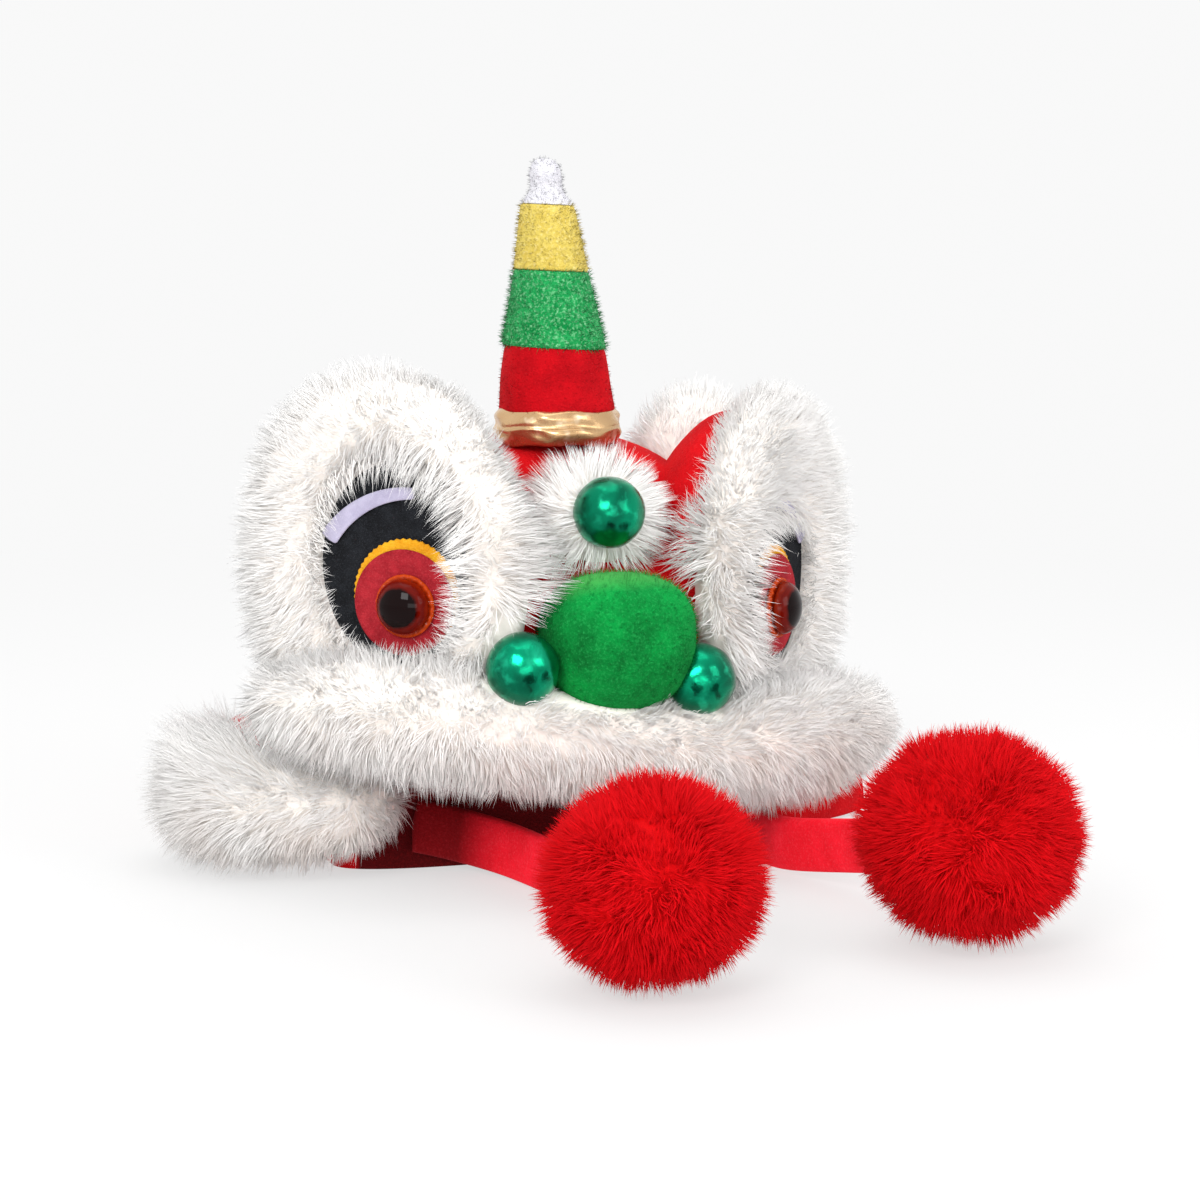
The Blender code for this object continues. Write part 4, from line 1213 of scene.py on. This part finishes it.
def of_wall(side, place, out):
    """A place before an eye in millimetres and in shares of the free oval, its share in all, and
    how much its surface faces inwards."""
    local = to_eye(side, place) - [*PAD_MIDDLE, 0]
    well = well_of(side, place)
    inwards = -(unit(local * [1, 1, 0]) * (out @ eye_axes(side)[1].T)).sum(axis=1)
    return local, well, np.hypot(well[:, 0], well[:, 1]), np.clip(inwards, 0, 1)


def brow_comb(side):
    def comb(place, out):
        """Away from the eye along its plane and up out of it; the wall's hairs stand up, and
        near the nose they lie in over the eye."""
        local, well, share, wall = of_wall(side, place, out)
        near = np.clip((1.4 - share) / 0.2, 0, 1) * np.clip(4.5 * overhang(side, well), 0, 1)
        radial = unit(local * [1, 1, 0]) * (0.5 - 0.2 * wall - 1.3 * near)[:, None]
        up = (0.25 + 0.75 * wall * (1 - near))[:, None] * [0, 0, 1]
        return (radial + up) @ eye_axes(side)[1]
    return comb


def brow_length(side):
    def length(place, out):
        """Longer towards the nose, where the fur lies over the forehead, and at the corner that
        hangs over the eye; shorter on the wall, and at the top of the right loop beside the ear."""
        local, well, share, wall = of_wall(side, place, out)
        x, y = local[:, 0], local[:, 1]
        beside = np.clip((-x - 20) / 8, 0, 1)
        start = 5 if side == "left" else 18
        high = np.clip((y - start) / 12, 0, 1) * np.clip((4 - x) / 8, 0, 1)
        most = 8.0 if side == "left" else 9.0
        trim = 0.8 if side == "left" else 0.4
        over = np.clip((1.4 - share) / 0.2, 0, 1) * np.clip(6 * overhang(side, well) - 0.6, 0, 1)
        long = 7.8 + most * beside * (1 - high * trim) - 3.0 * high * trim
        return (long * (1 - 0.35 * wall * (1 - over)) + 4.5 * over)[:, None]
    return length


def lip_comb(place, out):
    """Forward above the parting, down below it, and outwards towards the ends."""
    middle_z = np.interp(place[:, 0], *LIP_PARTING)
    below = np.tanh((middle_z + 1.0 - place[:, 2]) / 1.8)
    ends = np.clip(place[:, 0] / 90, -1, 1) ** 3
    fall = np.where(below > 0, -0.55, 0.12) * np.abs(below)
    front = 0.2 + 1.1 * np.exp(-((place[:, 0] / 26) ** 4)) * np.clip(-below, 0, 1)
    return np.stack([0.35 * ends, -front, fall], -1)


def lip_length(place, out):
    """Longer below the parting at the left end, where the lip's fur hangs over the lobe."""
    middle_z = np.interp(place[:, 0], *LIP_PARTING)
    end = np.clip((-place[:, 0] - 30) / 25, 0, 1) * (place[:, 2] < middle_z)
    return (7.6 + 2.4 * end)[:, None]


def lobe_comb(place, out):
    """Outwards from the hat, up on the upper side and down below."""
    away = unit(place * [1, 1, 0] - [0, 20, 0])
    rise = np.clip((place[:, 2:] - 18) / 12, -1, 1)
    return 0.4 * away + np.array([0, 0, 0.32]) * rise


def lobe_length(place, out):
    """Longer on the upper side and at the outer end."""
    high = np.clip((place[:, 2] - 24) / 7, 0, 1) * np.where(place[:, 1] < 10, 1.5, 1.0)
    end = np.clip((np.abs(place[:, 0]) - 80) / 10, 0, 1)
    return (7.6 + 5.0 * high + 3.4 * end)[:, None]


def ear_comb(place, out):
    """Up and backwards."""
    return np.stack([0.2 * np.sign(place[:, 0]), 0.2 + 0 * place[:, 1], 0.45 + 0 * place[:, 2]], -1)


def patch_comb(place, out):
    """Away from the forehead's ball."""
    away = unit((place - BALLS["forehead_ball"][:3]) * [1, 0.2, 1])
    return 0.9 * away + [0, -0.15, 0]


def ball_comb(place, out):
    """Straight out of the pompom."""
    return 0.4 * out


def fur_pieces():
    """Every piece of fur or long pile: a lumpy backing and its hairs, as one object."""

    def fur(name, backing, hair, node, look="white_fur"):
        make(name, [backing, *hair], LOOKS[look], [node])

    points = roll(LIP_ROWS, uneven=0.8, seed=4)
    under = roll(LIP_ROWS, grow=-BACKING, uneven=0.9, seed=4, size=7)
    hair = coat(points, 8500, 21000, lip_length, lip_comb, 41, droop=0.04, inner=(0.8, 6.0))
    fur("fur_lip", skin(under, poles=(0, -1)), hair, "lip_fur")
    for side in SIDES:
        number = 60 if side == "left" else 70
        points = brow_points(side)
        under = brow_points(side, -BACKING, 0.5)
        length, comb = brow_length(side), brow_comb(side)
        hair = coat(points, 7800, 19000, length, comb, number + 1, wrap_rows=True)
        hair.append(pad_fringe(side, 1300, number))
        fur(f"fur_brow_{side}", skin(under, wrap_rows=True), hair, f"brow_{side}")
        middle = (SIDES[side] * EAR_MIDDLE[0], EAR_MIDDLE[1], EAR_MIDDLE[2])
        points = lump(middle, EAR_HALF)
        under = lump(middle, np.array(EAR_HALF) - BACKING, uneven=0.02, size=0.3)
        hair = coat(points, 1500, 3600, 7.6, ear_comb, number + 2)
        fur(f"fur_ear_{side}", skin(under, poles=(0, -1)), hair, f"ear_{side}")
        points = roll(LOBE_ROWS[side], uneven=0.6, seed=number)
        under = roll(LOBE_ROWS[side], grow=-BACKING, uneven=0.7, seed=number, size=7)
        under[..., 2] = np.maximum(under[..., 2], 2.0)
        counts = (3800, 9000) if side == "left" else (2660, 6300)
        hair = coat(points, *counts, lobe_length, lobe_comb, number + 3)
        fur(f"fur_lobe_{side}", skin(under, poles=(0, -1)), hair, f"flap_fur_{side}", "lobe_fur")
        x, y, z, wide, tall = POMPOMS[side]
        half = np.array([wide, wide, tall])
        points = lump((x, y, z), half, uneven=0.05, seed=number, size=0.55)
        under = lump((x, y, z), half - 2.5, uneven=0.05, seed=number, size=0.35)
        under[..., 2] = np.maximum(under[..., 2], 2.5)
        hair = coat(
            points, 2600, 13000, 7.6, ball_comb, number + 4, width=0.17, sink=3.0, droop=0.03,
            gather=(0.0, 0.35), loose=0.12, vary=(0.86, 1.06),
        )
        backing = skin(under, poles=(0, -1))
        fur(f"pile_pompom_{side}", backing, hair, f"pompom_{side}", "red_pile")
    points = lump(FOREHEAD_FUR_MIDDLE, FOREHEAD_FUR_HALF)
    under = lump(FOREHEAD_FUR_MIDDLE, np.array(FOREHEAD_FUR_HALF) - 1.5, uneven=0.04, size=0.4)
    hair = coat(points, 2200, 3600, 9.5, patch_comb, 51, droop=0.0, gather=(0.25, 0.75))
    fur("fur_patch", skin(under, poles=(0, -1)), hair, "forehead_fur")


# ---- floor, light and camera ----

FLOOR_RADIUS = 12.0
FLOOR_SHADE = 0.72
BACKDROP = 0.945
AMBIENT = 1.08
AZIMUTH = math.radians(-22)
DISTANCE = 0.750
HEIGHT = 0.176
PITCH = math.radians(8.17)
SIDE = 0.01325
LENS = 84.9


def make_floor():
    """A pale floor whose middle takes shadows and whose far part shines as the backdrop does."""
    angle = TURN * np.arange(96) / 96
    verts = FLOOR_RADIUS * np.stack([np.cos(angle), np.sin(angle), 0 * angle], -1)
    mesh = bpy.data.meshes.new("floor")
    faces = [(0, i + 1, (i + 1) % 96 + 1) for i in range(96)]
    mesh.from_pydata([(0.0, 0.0, 0.0), *verts.tolist()], [], faces)
    floor = bpy.data.objects.new("floor", mesh)
    bpy.context.scene.collection.objects.link(floor)
    look, tree, inputs = finish_of("pale_floor", 0.9, Specular_IOR_Level=0.05)
    inputs["Base Color"].default_value = (FLOOR_SHADE, FLOOR_SHADE, FLOOR_SHADE, 1)
    shader = tree.nodes["Principled BSDF"].outputs[0]
    glow = add(tree, "Emission", {"Color": (BACKDROP, BACKDROP, BACKDROP, 1)}).outputs[0]
    away = add(tree, "VectorMath", {0: place_of(tree)}, operation="LENGTH").outputs["Value"]
    far = spread(tree, away, 0.12, 0.75, 0.62, 1.0, "SMOOTHSTEP")
    blended(tree, far, shader, glow, tree.nodes["Material Output"].inputs["Surface"])
    mesh.materials.append(look)


def make_world():
    """Plain soft light from all round; what the camera sees of it is the backdrop's own grey."""
    world = bpy.data.worlds.new("studio")
    bpy.context.scene.world = world
    world.use_nodes = True
    tree = world.node_tree
    ambient = tree.nodes["Background"]
    ambient.inputs["Color"].default_value = (1, 1, 1, 1)
    ambient.inputs["Strength"].default_value = AMBIENT
    seen = add(tree, "Background", {"Color": (BACKDROP, BACKDROP, BACKDROP, 1)}).outputs[0]
    camera_ray = add(tree, "LightPath").outputs["Is Camera Ray"]
    end = tree.nodes["World Output"].inputs["Surface"]
    blended(tree, camera_ray, ambient.outputs[0], seen, end)


def area_light(name, place, target, size, power):
    data = bpy.data.lights.new(name, "AREA")
    data.shape = "RECTANGLE"
    data.size, data.size_y = size
    data.energy = power
    light = bpy.data.objects.new(name, data)
    bpy.context.scene.collection.objects.link(light)
    light.location = place
    light.visible_camera = False
    light.rotation_euler = (Vector(target) - Vector(place)).to_track_quat("-Z", "Y").to_euler()


def make_camera():
    data = bpy.data.cameras.new("photo_camera")
    data.sensor_width = 36
    data.lens = LENS
    camera = bpy.data.objects.new("photo_camera", data)
    bpy.context.scene.collection.objects.link(camera)
    right = np.array([math.cos(AZIMUTH), math.sin(AZIMUTH), 0])
    back = np.array([math.sin(AZIMUTH), -math.cos(AZIMUTH), 0])
    camera.location = SHIFT * MM + right * SIDE + back * DISTANCE + [0, 0, HEIGHT]
    camera.rotation_euler = (math.pi / 2 - PITCH, 0, AZIMUTH)
    bpy.context.scene.camera = camera


make_camera()
make_world()
make_floor()
area_light("key", (-0.9, -1.0, 0.9), (0, 0, 0.07), (0.6, 0.6), 12)
area_light("fill", (0.8, -1.2, 0.7), (0, 0, 0.07), (0.8, 0.8), 7)
area_light("front", (-0.35, -1.5, 0.14), (0, 0, 0.05), (1.0, 0.4), 4)
area_light("top", (0, 0.2, 1.6), (0, 0, 0.05), (1.2, 1.2), 6)
bpy.context.scene.view_settings.view_transform = "Standard"

smooth_pieces()
fur_pieces()
